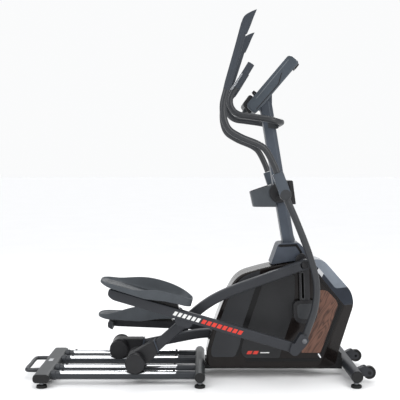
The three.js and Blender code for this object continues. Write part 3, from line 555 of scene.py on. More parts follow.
def bolt_head(x, z, y, sign, radius=8, height=5):
    """Hexagon head on a washer, facing away from the middle plane."""
    washer = turned([(radius * 1.35, 0), (radius * 1.35, 1.6), (0, 1.6)], (x, sign * y, z), "y", 28, sign)
    head = slab(circle(x, z, radius, 6), sign, y + 1.4, y + 1.4 + height)
    return merged(washer, head)


def add_stabilisers():
    half, inset = STABILISER_HALF, STABILISER_HALF - 5
    x, z, width, height = (REAR_BAR[key] for key in ("x", "z", "width", "height"))
    oval = rounded(rectangle(x, z, width, height), height / 2.05, 8)
    bar = loft([[(px, y, pz) for px, pz in oval] for y in (-inset, inset)])
    piece("rear_bar", bar, "bar_paint", "frame", ("rear_stabiliser",), bevel=1)
    top = z + height / 2
    sticker = rounded([(x - 14, -15), (x + 6, -15), (x + 6, 31), (x - 14, 31)], 2, 3)
    piece("blank_label", plan_slab(sticker, top - 0.3, top + 0.4), "label")
    cap = rounded(rectangle(x, z, width - 1, height - 1), height / 2.1, 8)
    for side, sign, _ in SIDES:
        piece(f"rear_bar_cap_{side}", slab(cap, sign, inset, half), "nylon", bevel=2)
    for row, spec, look in (("middle", MIDDLE_BAR, "bar_paint"), ("front", FRONT_BAR, "arm_paint")):
        for side, sign, _ in SIDES:
            plug = rod_y(spec["x"], spec["z"], spec["radius"] - 0.6, sign, inset, half, 3)
            piece(f"{row}_bar_cap_{side}", plug, "nylon")
        bar = rod_y(spec["x"], spec["z"], spec["radius"], 1, -inset, inset, 0.8, 56)
        forks = [transport_fork(sign) for _, sign, _ in SIDES] if row == "front" else []
        piece(f"{row}_bar", merged(bar, *forks), look, "frame", (f"{row}_stabiliser",), bevel=0.8)
    bolts = [bolt_head(FRONT_BAR["x"] - 26, FRONT_BAR["z"] + 12, 20, sign, 6, 4) for sign in (-1, 1)]
    piece("front_bar_bolts", merged(*bolts), "steel", bevel=0.5)
    add_lift_handle()


def add_lift_handle():
    x, half, z = LIFT_HANDLE["x"] + 1, LIFT_HANDLE["half"], LIFT_HANDLE["z"]
    bend = 26
    rear = REAR_BAR["x"] - REAR_BAR["width"] / 2 + 6
    path = [(rear, -half, z), (x + bend, -half, z), (x + 5, -half + 5, z), (x, -half + bend, z), (x, 0, z),
            (x, half - bend, z), (x + 5, half - 5, z), (x + bend, half, z), (rear, half, z)]
    piece("lift_handle", tube(path, LIFT_HANDLE["radius"], 70, 20), "tube_paint")


def transport_fork(sign):
    x, z, y, width = TRANSPORT["x"], TRANSPORT["z"], TRANSPORT["y"], TRANSPORT["width"]
    back = FRONT_BAR["x"] + 10
    outline = rounded([(back, z - 16), (x + 14, z - 16), (x + 16, z + 12, 14), (x - 20, z + 33, 6),
                       (x - 30, z + 32, 4), (back, z + 14)], 12, 5)
    plates = [slab(outline, sign, near, near + 4) for near in (y - width / 2 - 5, y + width / 2 + 1)]
    roof = [(back, z + 14), (back, z + 11), (x - 29, z + 29), (x - 29, z + 32)]
    return merged(*plates, slab(roof, sign, y - width / 2 - 3, y + width / 2 + 3))


def add_transport_wheel(side, sign):
    r, half = TRANSPORT["radius"], TRANSPORT["width"] / 2
    face = [(0, 5), (6, 5), (6, -2), (10, -2), (12, -0.5), (r - 9, -2), (r - 6, 0), (r - 2, 0), (r, -2.5)]
    profile = [(radius, -half - out) for radius, out in face]
    profile += [(radius, half + out) for radius, out in reversed(face)]
    centre = (TRANSPORT["x"], sign * TRANSPORT["y"], TRANSPORT["z"])
    piece(f"transport_wheel_{side}_fine", turned(profile, centre, "y", 48), "nylon",
          f"transport_wheel_{side}", (f"transport_wheel_{side}",))
    cap = bolt_head(TRANSPORT["x"], TRANSPORT["z"], TRANSPORT["y"] + half + 5, sign, 6, 3)
    piece(f"transport_bolt_{side}", cap, "frame_black", bevel=0.5)


def add_feet():
    profile = [(22, 0), (24, 0.8), (25, 2.5), (25, 4.5), (24.2, 5.2), (25, 6), (25, 9.5), (23.5, 12),
               (20, 13), (9, 13.4), (0, 13.4)]
    for row, spec in (("rear", REAR_BAR), ("middle", MIDDLE_BAR), ("front", FRONT_BAR)):
        for side, sign, _ in SIDES:
            x, y = spec["x"], sign * FOOT_Y
            pad = turned(profile, (x, y, 0), "z", 44)
            stem = turned([(0, 12), (8, 12), (8, 25.6), (0, 25.6)], (x, y, 0), "z", 24)
            nut = plan_slab(circle(x, y, 13, 6), 18, 24)
            body = f"levelling_foot_{row}_{side}"
            piece(f"foot_pad_{row}_{side}", pad, "rubber", body, (f"foot_{row}_{side}",))
            piece(f"foot_screw_{row}_{side}", merged(stem, nut), "steel", body, bevel=0.6)


def rail_sleeve(y):
    """Half sleeve that lies over the top of a rail tube, its ends cut back at the sides."""
    spread, outer, inner = RAIL_COVER["spread"], RAIL_COVER["radius"], RAIL["radius"] + 0.2
    count = 14
    rings = []
    stations = ((RAIL_COVER["rear"], 1), (RAIL_COVER["rear"] + 30, 0), (RAIL_COVER["front"] - 30, 0),
                (RAIL_COVER["front"], -1))
    for x, cut_back in stations:
        ring = []
        for radius, order in ((outer, 1), (inner, -1)):
            for i in range(count + 1):
                a = order * (-spread + 2 * spread * i / count)
                ring.append((x + cut_back * 8 * (a / spread) ** 2, y + radius * math.sin(a),
                             RAIL["z"] + radius * math.cos(a)))
        rings.append(ring)
    return loft(rings)


def add_rails(side, sign):
    rear = REAR_BAR["x"] + REAR_BAR["width"] / 2 - 4
    front = MIDDLE_BAR["x"] - MIDDLE_BAR["radius"] + 4
    r = RAIL["radius"]
    top = RAIL["z"] + RAIL_COVER["radius"]
    for row, offset in RAIL["rows"]:
        y = sign * offset
        centre = (0, y, RAIL["z"])
        beam = turned([(r, rear), (r, front)], centre, "x")
        saddle = turned([(r, rear + 2), (r + 3, rear + 4), (r + 3, rear + 22), (r, rear + 25)], centre, "x")
        piece(f"rail_{row}_{side}", merged(beam, saddle), "rail_paint", "frame", (f"rail_beam_{row}_{side}",))
        piece(f"rail_sleeve_{row}_{side}", rail_sleeve(y), "chrome", "frame", (f"rail_cover_{row}_{side}",))
        screws = [screw_head((x, y, top - 0.6), "z", 6, 4)
                  for x in (RAIL_COVER["rear"] + 14, RAIL_COVER["front"] - 14)]
        piece(f"rail_screws_{row}_{side}", merged(*screws), "black")


# ------------------------------------------------------------------ housing


def housing_corners():
    return [(38, 50, 34), (38, 133, 30), (72, 255, 120), (128, 401, 90), (186, 503, 60), (350, 550, 120),
            (600, 583, 45), (748, 417, 45), (757, 355, 60), (690, 133, 40), (672, 50, 20)]


def with_steps(outline, step):
    """The same outline with extra points along its long sides."""
    dense = []
    for p, q in zip(outline, outline[1:] + outline[:1]):
        count = max(1, round(math.dist(p, q) / step))
        dense.extend([(p[0] + (q[0] - p[0]) * k / count, p[1] + (q[1] - p[1]) * k / count)
                      for k in range(count)])
    return dense


def beyond_crease(x, z):
    """How far a point lies outside the two crease lines, and the nearest point on them."""
    best = (0.0, (x, z))
    corner, upper, lower = Vector(CREASE[1]), Vector(CREASE[0]), Vector(CREASE[2])
    for start, end in ((upper, corner), (corner, lower)):
        run = (end - start).normalized()
        outward = Vector((-run.y, run.x))
        reach = Vector((x, z)) - start
        distance = reach.dot(outward)
        if distance > best[0]:
            travel = reach.dot(run)
            if start == upper:
                travel = min(travel, (end - start).length)
            else:
                travel = max(travel, 0.0)
            best = (distance, tuple(start + run * travel))
    return best


def bevel_reach(distance):
    """Half width of the housing at a distance in front of the crease."""
    return HOUSING_HALF - distance * FRONT_BEVEL["depth"] / FRONT_BEVEL["run"]


def inward(outline, amount):
    """Outline moved inward along its own normals."""
    moved = []
    count = len(outline)
    for i in range(count):
        p, q = Vector(outline[i - 1]), Vector(outline[(i + 1) % count])
        run = (q - p).normalized()
        moved.append((outline[i][0] - run.y * amount, outline[i][1] + run.x * amount))
    return moved


def area(outline):
    return sum(p[0] * q[1] - q[0] * p[1] for p, q in zip(outline, outline[1:] + outline[:1])) / 2


def housing_rings(sign):
    """Rings from the middle seam out to the side face: rounded edge, with a flat bevel at the front."""
    outline = with_steps(rounded(housing_corners(), 30, 8), 9)
    if area(outline) < 0:
        outline.reverse()
    face = inward(outline, HOUSING_EDGE)
    seam = inward(outline, 1.6)
    steps = 6
    rings = [[(x, sign * 0.15, z) for x, z in seam], [(x, sign * 1.6, z) for x, z in outline]]
    table = []
    for (x, z), (fx, fz) in zip(outline, face):
        distance, nearest = beyond_crease(x, z)
        if distance > HOUSING_EDGE:
            table.append(((x, z), nearest, bevel_reach(distance), True))
        else:
            table.append(((x, z), (fx, fz), HOUSING_HALF - HOUSING_EDGE, False))
    for k in range(steps + 1):
        turn = math.pi / 2 * k / steps
        ring = []
        for (x, z), (fx, fz), start, flat in table:
            share, lift = (k / steps, k / steps) if flat else (1 - math.cos(turn), math.sin(turn))
            y = start + (HOUSING_HALF - start) * lift
            ring.append((x + (fx - x) * share, sign * y, z + (fz - z) * share))
        rings.append(ring)
    return rings


def on_facet(x, z):
    """True in front of the upper crease, from above its start down to its lower corner."""
    upper, corner = Vector(CREASE[0]), Vector(CREASE[1])
    run = (corner - upper).normalized()
    outward = Vector((-run.y, run.x))
    reach = Vector((x, z)) - upper
    return reach.dot(outward) > 0.5 and reach.dot(run) > -70 and z > CREASE[1][1] - 2


def facet_plate(outline, sign, lift):
    """Thin plate lying on the bevelled front."""
    rings = []
    for rise in (-1, lift):
        rings.append([(x, sign * (bevel_reach(beyond_crease(x, z)[0]) + rise), z) for x, z in outline])
    return loft(rings)


def cap_outline():
    """Edge of the light cap: along the housing outline to a level end, then back beside the crease."""
    outline = with_steps(rounded(housing_corners(), 30, 8), 4)
    outer = [point for point in outline if point[1] > CAP_END and on_facet(*point)]
    return outer + rounded(CAP_EDGE, 0, 8)


def add_housing():
    cap_parts = []
    for side, sign, _ in SIDES:
        rings = housing_rings(sign)
        verts, faces = loft(rings)
        around = len(rings[0])
        shell, facet, cap = [], [], []
        for face in faces:
            x, z = (sum(verts[i][axis] for i in face) / len(face) for axis in (0, 2))
            if len(face) != 4 or not on_facet(x, z):
                shell.append(face)
            elif max(face) < 3 * around and z > CAP_END:
                cap.append(face)
            else:
                facet.append(face)
        piece(f"housing_shell_{side}", (verts, shell), "gloss", "frame", (f"housing_{side}",))
        # the bevelled front is black gloss with a painted blue reflection in its colour
        piece(f"housing_facet_{side}", (verts, facet), "facet")
        cap_parts.extend([(verts, cap), facet_plate(cap_outline(), sign, 0.8)])
        clip = [(573, 521), (582, 538), (606, 510), (596, 494)]
        piece(f"cap_clip_{side}", facet_plate(clip, sign, 1.6), "chrome", bevel=0.5)
    piece("front_cap_shell", merged(*cap_parts), "cap", "frame", ("front_cap",))
    for side, sign, _ in SIDES:
        add_housing_trim(side, sign)


# corners, corner radius, height over the side face, look, bevel
HOUSING_TRIM = {
    "rear_panel": ([(62, 104, 40), (60, 140, 20), (92, 250, 40), (142, 386, 60), (196, 482, 50),
                    (236, 508, 40), (300, 528, 10), (273, 439, 4), (215, 263, 4), (200, 165, 10),
                    (176, 104, 16)], 10, 1.8, "rear_panel", 0.7),
    "mid_panel": ([(206, 128, 14), (225, 99, 14), (392, 99, 6), (413, 180, 8), (462, 334, 20), (466, 500, 10),
                   (360, 534, 20), (328, 520, 8), (306, 451, 4), (239, 248, 4), (212, 165, 14)],
                  10, 2.2, "panel", 0.8),
    "dark_stripe": ([(274, 441), (305, 453), (238, 248), (212, 168), (205, 130), (190, 106), (178, 104),
                     (201, 165), (216, 262)], 0, 0.8, "black", 0.0),
    "frame_strip": ([(566, 500, 3), (575, 506, 3), (700, 357, 8), (597, 104, 4), (584, 104, 3), (585, 116, 3),
                     (597, 118, 6), (683, 357, 16), (676, 382, 16)], 4, 3.4, "black", 1.2),
    "lower_strip": ([(228, 82, 6), (590, 82, 6), (592, 98, 3), (226, 96, 3)], 4, 1.2, "black", 0.5),
}


def add_housing_trim(side, sign):
    face = HOUSING_HALF - 0.2
    for name, (corners, radius, height, look, bevel) in HOUSING_TRIM.items():
        plate = slab(rounded(corners, radius), sign, face, face + height)
        piece(f"{name}_{side}", plate, look, bevel=bevel)
    wood = rounded([(499, 125, 4), (592, 125, 8), (674, 359, 12), (668, 379, 10), (622, 429, 16),
                    (588, 433, 14), (566, 413, 10)], 8)
    piece(f"wood_inlay_{side}", slab(wood, sign, face, HOUSING_HALF + 3), "wood", "frame",
          (f"wood_panel_{side}",), bevel=1.2, segments=3)
    clip = rounded([(577, 120), (583, 123), (596, 103), (590, 99)], 2, 3)
    piece(f"chrome_clip_{side}", slab(clip, sign, face + 2, face + 4.2), "chrome", bevel=0.6)
    screws = [screw_head((x, sign * (face + 1.6), z), "y", 4.5, 2, sign)
              for x, z in ((188, 462), (56, 160), (120, 330), (352, 505))]
    piece(f"housing_screws_{side}", merged(*screws), "black")

    def printed(outline, x, z):
        return slab(place(outline, 0, (x, z)), sign, face + 2, face + 2.5)

    badge = [printed([(0, 0), (22, 0), (30, 16), (8, 16)], x, 118) for x in (232, 262)]
    piece(f"badge_red_{side}", merged(*badge), "red")
    piece(f"badge_white_{side}", printed([(0, 0), (44, 0), (46, 5), (2, 5)], 298, 123), "white")


# ------------------------------------------------------------------ mast and fittings


def mast_x(z):
    """Middle of the leaning mast at a height."""
    return MAST["base"] + MAST["lean"] * (z - MAST["bottom"])


def mast_post(low, high):
    d, w, cut = MAST["depth"] / 2, MAST["width"] / 2, MAST["depth"] * 0.28
    section = rounded([(-d, -w, 5), (d - cut, -w, 4), (d, -w + cut, 4), (d, w - cut, 4), (d - cut, w, 4),
                       (-d, w, 5)], 5, 4)
    return loft([[(x + mast_x(z), y, z) for x, y in section] for z in (low, high)])


def add_mast():
    head = slab(rounded([(262, 1345), (300, 1299), (356, 1299), (356, 1400), (346, 1420)], 6), 1, -34, 34)
    post = merged(mast_post(560, MAST["top"]), head)
    piece("mast_post", post, "paint", "frame", ("mast",), bevel=1.2, sharp=50)
    refined("main_frame", "frame_black", "frame", 1.5)
    refined("mast_cover", "gloss_cover", "frame", 2.5, 3)
    trim = rounded([(384, 642), (392, 650), (476, 654), (500, 618), (508, 583), (498, 583), (490, 614),
                    (470, 642), (400, 638)], 3, 3)
    for side, sign, _ in SIDES:
        piece(f"mast_cover_rim_{side}", slab(trim, sign, 69.5, 71), "black", bevel=0.5)


def add_axle():
    x, z = SWING_PIVOT
    bar = rod_y(x, z, 12, 1, -270.5, 270.5, 1)
    piece("pivot_axle", bar, "steel", "frame", ("swing_axle",))
    disc_profile = [(0, 39), (50, 39), (50, 60), (48.5, 63.5), (45, 65), (20, 65), (16, 63), (13, 63)]
    ridge_line = place(rounded([(-3, -46), (3, -46), (3, -18), (-3, -18)], 2, 3), -0.5, (x - 4, z + 2))
    for side, sign, _ in SIDES:
        disc = turned(disc_profile, (x - 4, 0, z + 2), "y", 56, sign)
        ridge = slab(ridge_line, sign, 64.5, 66.5)
        replaced = ("axle_shroud",) if side == "right" else ()
        piece(f"shroud_disc_{side}", merged(disc, ridge), "cover", "frame", replaced, bevel=0.6)
    near, far = 39, 59
    front = slab(rounded([(442, 845), (472, 845), (456, 961), (434, 961)], 6), 1, -far, far)
    ties = [slab([(x, z - 38), (446, z - 38), (446, z + 40), (x, z + 40)], sign, near, far)
            for _, sign, _ in SIDES]
    piece("shroud_front", merged(front, *ties), "cover", bevel=3, segments=3)


def add_cup_holder():
    """Cup with a thin rounded wall, open on top."""
    floor = 838
    outer = [(250, -55, 38), (372, -55, 6), (372, 55, 6), (250, 55, 38)]
    inner = [(254, -51, 34), (345, -51, 18), (345, 51, 18), (254, 51, 34)]

    def ring(corners, z, shrink=0.0):
        slope = -0.22 * (z - 905)
        flat = rounded([(x + (slope if x < 300 else -0.169 * (z - 885)), y, r) for x, y, r in corners], 10, 8)
        return [(x, y * (1 - shrink), z) for x, y in flat]

    def rim(x):
        return 905 + (x - 252) * 0.34

    wall = [ring(outer, 832, 0.05), ring(outer, 835), ring(outer, 870)]
    top_outer = [(x, y, rim(x)) for x, y, _ in ring(outer, 905)]
    top_inner = [(x, y, rim(x)) for x, y, _ in ring(inner, 905)]
    well = [ring(inner, 870), ring(inner, floor + 4), ring(inner, floor, 0.06)]
    piece("cup_tray", loft(wall + [top_outer, top_inner] + well), "cup", "frame", ("cup_holder",), bevel=1.2)


def add_fixed_handlebar():
    y = 188
    half = [(389.5, 60, 1235), (389.5, 120, 1236), (387, 150, 1236.5), (368, 174, 1239), (343, y, 1245),
            (298, y, 1253), (240, y, 1261), (190, y, 1269), (164, y, 1285), (148, y, 1311), (145, y, 1339),
            (154, y, 1367), (183, y, 1407), (244, y, 1505)]
    path = [(px, -py, pz) for px, py, pz in reversed(half)] + [(389.5, 0, 1235)] + half
    bar = tube(path, 15, 170, 24)
    clamp = slab(rounded([(336, 1214), (384, 1212), (388, 1240), (336, 1243)], 5), 1, -40, 40)
    piece("fixed_bar", merged(bar, clamp), "tube_paint", "frame", ("fixed_handlebar",), bevel=1, sharp=60)
    bolts = [turned([(0, 0), (6, 0), (6, 3), (4, 4.5), (0, 4.5)], (385, sign * 20, 1220), "x", 20)
             for sign in (-1, 1)]
    piece("clamp_bolts", merged(*bolts), "steel")
    for side, sign, _ in SIDES:
        grip = [(154, sign * y, 1367), (168.5, sign * y, 1387), (183, sign * y, 1407), (244, sign * y, 1505)]
        sleeve = smooth_path(grip, 30)
        piece(f"fixed_grip_{side}", sweep(sleeve[6:], circle(0, 0, 16.6, 28)), "foam", bevel=1.5)
        arc = [(math.cos(a), math.sin(a)) for a in [math.radians(30 + 12 * k) for k in range(11)]]
        band = [(18.2 * c, 18.2 * s) for c, s in arc] + [(16 * c, 16 * s) for c, s in reversed(arc)]
        piece(f"pulse_plate_{side}", sweep(sleeve[2:20], band), "sensor", bevel=0.5)


def console_point(u, v):
    """Point given along the console's face and square to it."""
    return place([(u, v)], CONSOLE["tilt"], (CONSOLE["x"], CONSOLE["z"]))[0]


def console_prism(corners, near, far, radius=8, sign=1):
    flat = rounded([(*console_point(c[0], c[1]), *c[2:]) for c in corners], radius)
    return slab(flat, sign, near, far)


def add_console():
    half, top, low = CONSOLE["length"] / 2, CONSOLE["thick"] / 2, -CONSOLE["thick"] / 2
    width = CONSOLE["half"]
    shell = console_prism([(-half, low, 18), (half, low, 14), (half, top, 22), (-half, top, 18)],
                          -width, width)
    piece("console_shell", shell, "console", "frame", ("console_housing",), bevel=11, segments=5, sharp=60)
    ledge = console_prism([(-half - 16, top - 34), (-half + 30, low + 6), (-half + 62, top - 2),
                           (-half + 58, top + 24), (-half, top + 20)], -96, 96, 12)
    piece("console_ledge", ledge, "cover", bevel=4, segments=3, sharp=60)
    # a thin light strip along the top of each side is a painted highlight line
    highlight_strip = [(-half + 60, top - 12), (half - 26, top - 9), (half - 24, top - 12), (-half + 60, top - 15)]
    seam = [(-half + 20, low + 9), (20, low + 7), (70, low + 30), (66, low + 33), (18, low + 11),
            (-half + 20, low + 13)]
    rim = [(-half + 8, top - 16), (half - 3, top - 16), (half - 10, top + 3.4, 16),
           (-half + 8, top + 3.4, 12)]
    for side, sign, _ in SIDES:
        raised = console_prism(rim, width - 14, width - 0.4, 4, sign)
        piece(f"console_rim_{side}", raised, "console", bevel=4, segments=4, sharp=50)
        for name, corners, look in (("line", highlight_strip, "console_painted_highlight"), ("seam", seam, "cover")):
            strip = console_prism(corners, width - 1, width + 0.7, 2, sign)
            piece(f"console_{name}_{side}", strip, look, bevel=0.4)

    def on_face(rear, front, height, near, far, radius):
        corners = [(rear, top), (front, top), (front, top + height), (rear, top + height)]
        return console_prism(corners, near, far, radius)

    bezel = console_prism([(-96, top - 1), (146, top - 1), (146, top + 0.6), (-96, top + 0.6)], -112, 112, 1)
    piece("console_bezel", bezel, "screen", bevel=0.8)
    screen = on_face(-20, 132, 2.2, -96, 96, 0.8)
    piece("display_glass", screen, "screen", "frame", ("console_screen",), bevel=0.6)
    keys = []
    for u in (-80, -56):
        for column in range(-2, 3):
            wide = 13 if column else 17
            keys.append(on_face(u - 7, u + 9, 2.2, column * 38 - wide, column * 38 + wide, 1))
    piece("console_keys", merged(*keys), "button", bevel=1.4, segments=3)
    back = console_prism([(138, low - 9, 4), (167, low - 8, 4), (172, low + 14, 4), (146, low + 16, 2)],
                         -40, 40)
    piece("console_back_bracket", back, "cover", bevel=2)
    lip = console_prism([(-half - 30, top - 8, 3), (-half - 6, top - 26, 3), (-half, top + 2, 3)], -70, 70, 3)
    piece("media_ledge", lip, "pad", bevel=1)
    tab = console_prism([(-86, top), (-64, top), (-66, top + 22), (-80, top + 22)], -12, 12, 3)
    piece("safety_tab", tab, "cover", bevel=1)


# ------------------------------------------------------------------ crank


def add_crank():
    shaft = rod_y(CRANK["x"], CRANK["z"], 12, 1, -108, 108)
    pulley = rod_y(CRANK["x"], CRANK["z"], 118, 1, 44, 60, 2, 64)
    piece("crank_axle", merged(shaft, pulley), "steel", "crank", ("crank_shaft",))
    disc = rod_y(232, 278, 122, 1, -60, -36, 3, 64)
    hub = rod_y(232, 278, 10, 1, -62, 60)
    pinion = rod_y(232, 278, 24, 1, 44, 60, 1)
    piece("flywheel_disc", merged(disc, hub, pinion), "steel", "flywheel", ("flywheel",))


def add_crank_arm(side, sign, phase):
    pose = pose_of(phase)
    centre = (CRANK["x"], CRANK["z"])

    def turned_with_crank(corners, radius, steps, origin=centre):
        return place(rounded(corners, radius, steps), pose["crank_angle"], origin)

    refined(f"crank_arm_{side}", "crank_paint", "crank", 2.5, 3, 40)
    knob = turned_with_crank([(-39, 20, 6), (-33, 38, 7), (-12, 51, 8), (3, 47, 8), (17, 24, 8), (25, 0, 8),
                              (22, -24, 6), (-34, -10, 6)], 6, 4, pose["pin"])
    piece(f"crank_end_{side}", slab(knob, sign, 93, 116), "cover", "crank", bevel=3, segments=3)
    slot = turned_with_crank([(-14, 62), (-3, 62), (-3, 186), (-14, 186)], 5.4, 6)
    rim = turned_with_crank([(-18, 57), (1, 57), (1, 191), (-18, 191)], 9, 6)
    far = CRANK_ARM_OUTER + 2.2
    # the rim round the slot is painted lighter than the arm, as a highlight
    piece(f"crank_rim_{side}", ring_slab(rim, slot, sign, far - 4, far), "crank_painted_highlight", "crank", bevel=0.8)
    # a near-black sheet inside the slot stands in for its shadow
    shade_sheet = slab(slot, sign, CRANK_ARM_OUTER - 7, CRANK_ARM_OUTER - 6.4)
    piece(f"crank_slot_shade_sheet_{side}", shade_sheet, "slot_shade_black", "crank")
    refined(f"crank_cover_{side}", "cover", "crank", 2.2, 3, 40)
    pad = turned_with_crank([(-40, 26, 5), (-28, 37, 5), (34, 37, 6), (41, 28, 5), (36, -24, 8), (22, -36, 8),
                             (-24, -36, 8), (-39, -26, 6)], 6, 4)
    piece(f"crank_pad_{side}", slab(pad, sign, 112, 118.3), "hub_pad", "crank", bevel=1.6, segments=3)


# ------------------------------------------------------------------ roller arms


def box_section(width, height, radius, steps=5):
    return rounded(rectangle(0, 0, width, height), radius, steps)


def add_roller_arm(side, sign, phase):
    pose = pose_of(phase)
    middle = (ROLLER_ARM["inner"] + ROLLER_ARM["outer"]) / 2
    width = ROLLER_ARM["outer"] - ROLLER_ARM["inner"]
    line = place(ARM_LINE, pose["arm_angle"], pose["roller"])
    path = smooth_path([(x, sign * middle, z) for x, z in line], 48)
    beam = sweep(path, box_section(width, ROLLER_ARM["height"], 11))
    inner, outer = ROLLER_ARM["inner"], ROLLER_ARM["outer"]
    eye = rod_y(*pose["pin"], 26, sign, inner, outer, 3)
    foot = rod_y(*pose["roller"], 24, sign, inner, outer, 2)
    pin = rod_y(*pose["link_pin"], 11, sign, outer - 8, 199.6, 1, 28)
    body = f"roller_arm_{side}"
    piece(f"arm_beam_{side}", merged(beam, eye, foot, pin), "arm_paint", body, (f"roller_arm_{side}",))
    cap = turned([(0, outer - 1), (18.5, outer - 1), (18.5, outer + 3), (17, outer + 5), (6, outer + 6),
                  (0, outer + 6)], (pose["pin"][0], 0, pose["pin"][1]), "y", 40, sign)
    piece(f"arm_pin_cap_{side}", cap, "cover", body)
    collar = rod_y(*pose["link_pin"], 19, sign, outer - 2, outer + 7, 2)
    piece(f"arm_pivot_collar_{side}", collar, "cover", body)
    add_roller_cover(side, sign, pose)


def hood_outline(radius, pose, tuck, steps=30):
    """Drum outline, open underneath where the wheels meet the rails.

    The hood turns with its arm, so the edge that dips (tuck, front and rear) is cut back further.
    """
    start, end = math.radians(-44 + tuck[0]), math.radians(224 - tuck[1])
    return [(pose["roller"][0] + radius * math.cos(start + (end - start) * i / steps),
             pose["roller"][1] + radius * math.sin(start + (end - start) * i / steps))
            for i in range(steps + 1)]


def add_roller_cover(side, sign, pose):
    body = f"roller_arm_{side}"
    r, inner, outer = ROLLER_COVER["radius"], ROLLER_COVER["inner"], ROLLER_COVER["outer"]
    tuck = (17, 0) if side == "right" else (0, 17)

    def band(out, into, near, far):
        outline = hood_outline(r + out, pose, tuck) + list(reversed(hood_outline(r - into, pose, tuck)))
        return slab(outline, sign, near, far)

    def on_arm(corners, radius, steps, margin):
        outline = place(rounded(corners, radius, steps), pose["arm_angle"], pose["roller"])
        return slab(outline, sign, ROLLER_ARM["inner"] - margin, ROLLER_ARM["outer"] + margin)

    ends = [rod_y(*pose["roller"], r, sign, near, far, 2.5, 48)
            for near, far in ((inner, inner + 4), (outer - 4, outer))]
    hood = merged(band(0, 3, inner + 2, outer - 2), *ends)
    piece(f"roller_hood_{side}", hood, "cover", body, (f"roller_cover_{side}",), bevel=1.2)
    sleeve = on_arm([(10, -34), (70, -32), (112, -16), (122, 44), (60, 44), (10, 44)], 8, 6, 9)
    piece(f"roller_sleeve_{side}", sleeve, "cover", body, bevel=5, segments=4)
    ribs = [band(1.6, 1, y, y + 4) for y in (70, 82, 94, 186, 198, 210)]
    piece(f"roller_ribs_{side}", merged(*ribs), "cover", body, bevel=1)
    edge = on_arm([(113, -17), (118, -16), (128, 44), (123, 45)], 2, 3, 7)
    piece(f"roller_sleeve_lip_{side}", edge, "gloss_cover", body, bevel=1)


def add_roller(side, sign, phase):
    x, z = pose_of(phase)["roller"]
    shaft = rod_y(x, z, 8, sign, 62, 218)
    piece(f"roller_shaft_{side}", shaft, "steel", f"carriage_{side}", (f"roller_axle_{side}",))
    r, flange, half = WHEEL["radius"], WHEEL["flange"], WHEEL["width"] / 2
    for row, y in RAIL["rows"]:
        profile = [(9, -half), (flange - 2, -half), (flange, -half + 1.5), (r + 0.9, -half / 2), (r + 0.1, 0),
                   (r + 0.9, half / 2), (flange, half - 1.5), (flange - 2, half), (9, half)]
        piece(f"roller_tyre_{row}_{side}", turned(profile, (x, sign * y, z), "y", 48), "tread",
              f"rollers_{side}", (f"roller_wheel_{row}_{side}",))


# ------------------------------------------------------------------ foot links and pedals


def link_ring(outline, u, bottom, top, put, sign):
    """Tube section at a distance u from the pivot, squeezed between two heights."""
    full = LINK_TUBE["high"] - LINK_TUBE["low"]
    middle = (LINK_TUBE["inner"] + LINK_TUBE["outer"]) / 2
    ring = []
    for v, w in outline:
        x, z = put([(u, (bottom + top) / 2 + v * (top - bottom) / full)])[0]
        ring.append((x, sign * (middle + w), z))
    return ring


def add_foot_link(side, sign, phase):
    pin, bolt, angle = link_frame(phase)
    body = f"foot_link_{side}"

    def put(points):
        return place(points, angle, pin)

    low, high = LINK_TUBE["low"], LINK_TUBE["high"]
    rear, front = LINK_TUBE["rear"], LINK_TUBE["front"]
    near, far = LINK_TUBE["inner"], LINK_TUBE["outer"]
    outline = box_section(high - low, far - near, 6)
    rings = []
    for k in range(11):
        turn = math.pi / 2 * k / 10
        u = rear + 46 * (1 - math.cos(turn))
        bottom, top = low + 26 * (1 - math.sin(turn)), high - 7 * (1 - math.sin(turn)) ** 2
        rings.append(link_ring(outline, u, bottom, top, put, sign))
    rings.append(link_ring(outline, front, low, high, put, sign))
    heel = slab(put(rounded([(rear + 5, low + 14, 10), (rear + 32, low + 2, 6), (rear + 32, high - 2, 6),
                             (rear + 5, high - 2, 10)], 8)), sign, 134, far - 4)
    lug = put(rounded([(-34, -26, 20), (34, -26, 20), (48, 12, 4), (-48, 12, 4)], 10))
    link = merged(loft(rings), heel, slab(lug, sign, 200, far - 4))
    piece(f"link_tube_{side}", link, "arm_paint", body, (f"foot_link_{side}",), bevel=2)
    bracket = put([(-205, high - 4), (-34, high - 4), (-50, 69), (-112, 62), (-205, 53.6)])
    piece(f"pedal_bracket_{side}", slab(bracket, sign, 196, 240), "black", body, bevel=1.5)
    plate = put(rounded([(514, low - 2, 3), (532, low - 9, 6), (546, low - 4, 6), (577, 62, 14),
                         (575, 97, 16), (534, 104, 12), (520, high + 1, 3), (514, high, 3)], 10))
    ears = [slab(plate, sign, a, b) for a, b in ((212, 217), (263, 268))]
    block = slab(put([(508, low), (530, low), (530, high), (508, high)]), sign, 212, 267)
    piece(f"link_clevis_{side}", merged(*ears, block), "arm_paint", body, bevel=1.5)
    head = screw_head((bolt[0], sign * 268, bolt[1]), "y", 8.5, 5, sign)
    washer = rod_y(*bolt, 11.5, sign, 267, 269.5, 0.8, 32)
    piece(f"clevis_bolt_{side}", merged(head, washer), "steel", body)
    add_stripes(side, sign, put, far)


def add_stripes(side, sign, put, face):
    """Slanting print bars along the outer face of the tube: a short white run, then a red one."""
    def bars(start, count, pitch, wide):
        made = []
        for k in range(count):
            u = start + k * pitch
            outline = put([(u, 16), (u + wide, 16), (u + wide + 7, 36), (u + 7, 36)])
            made.append(slab(outline, sign, face - 0.3, face + 0.35))
        return merged(*made)

    piece(f"stripe_white_{side}", bars(-58, 6, 22, 15), "white", f"foot_link_{side}")
    piece(f"stripe_red_{side}", bars(78, 8, 25, 18), "red", f"foot_link_{side}")


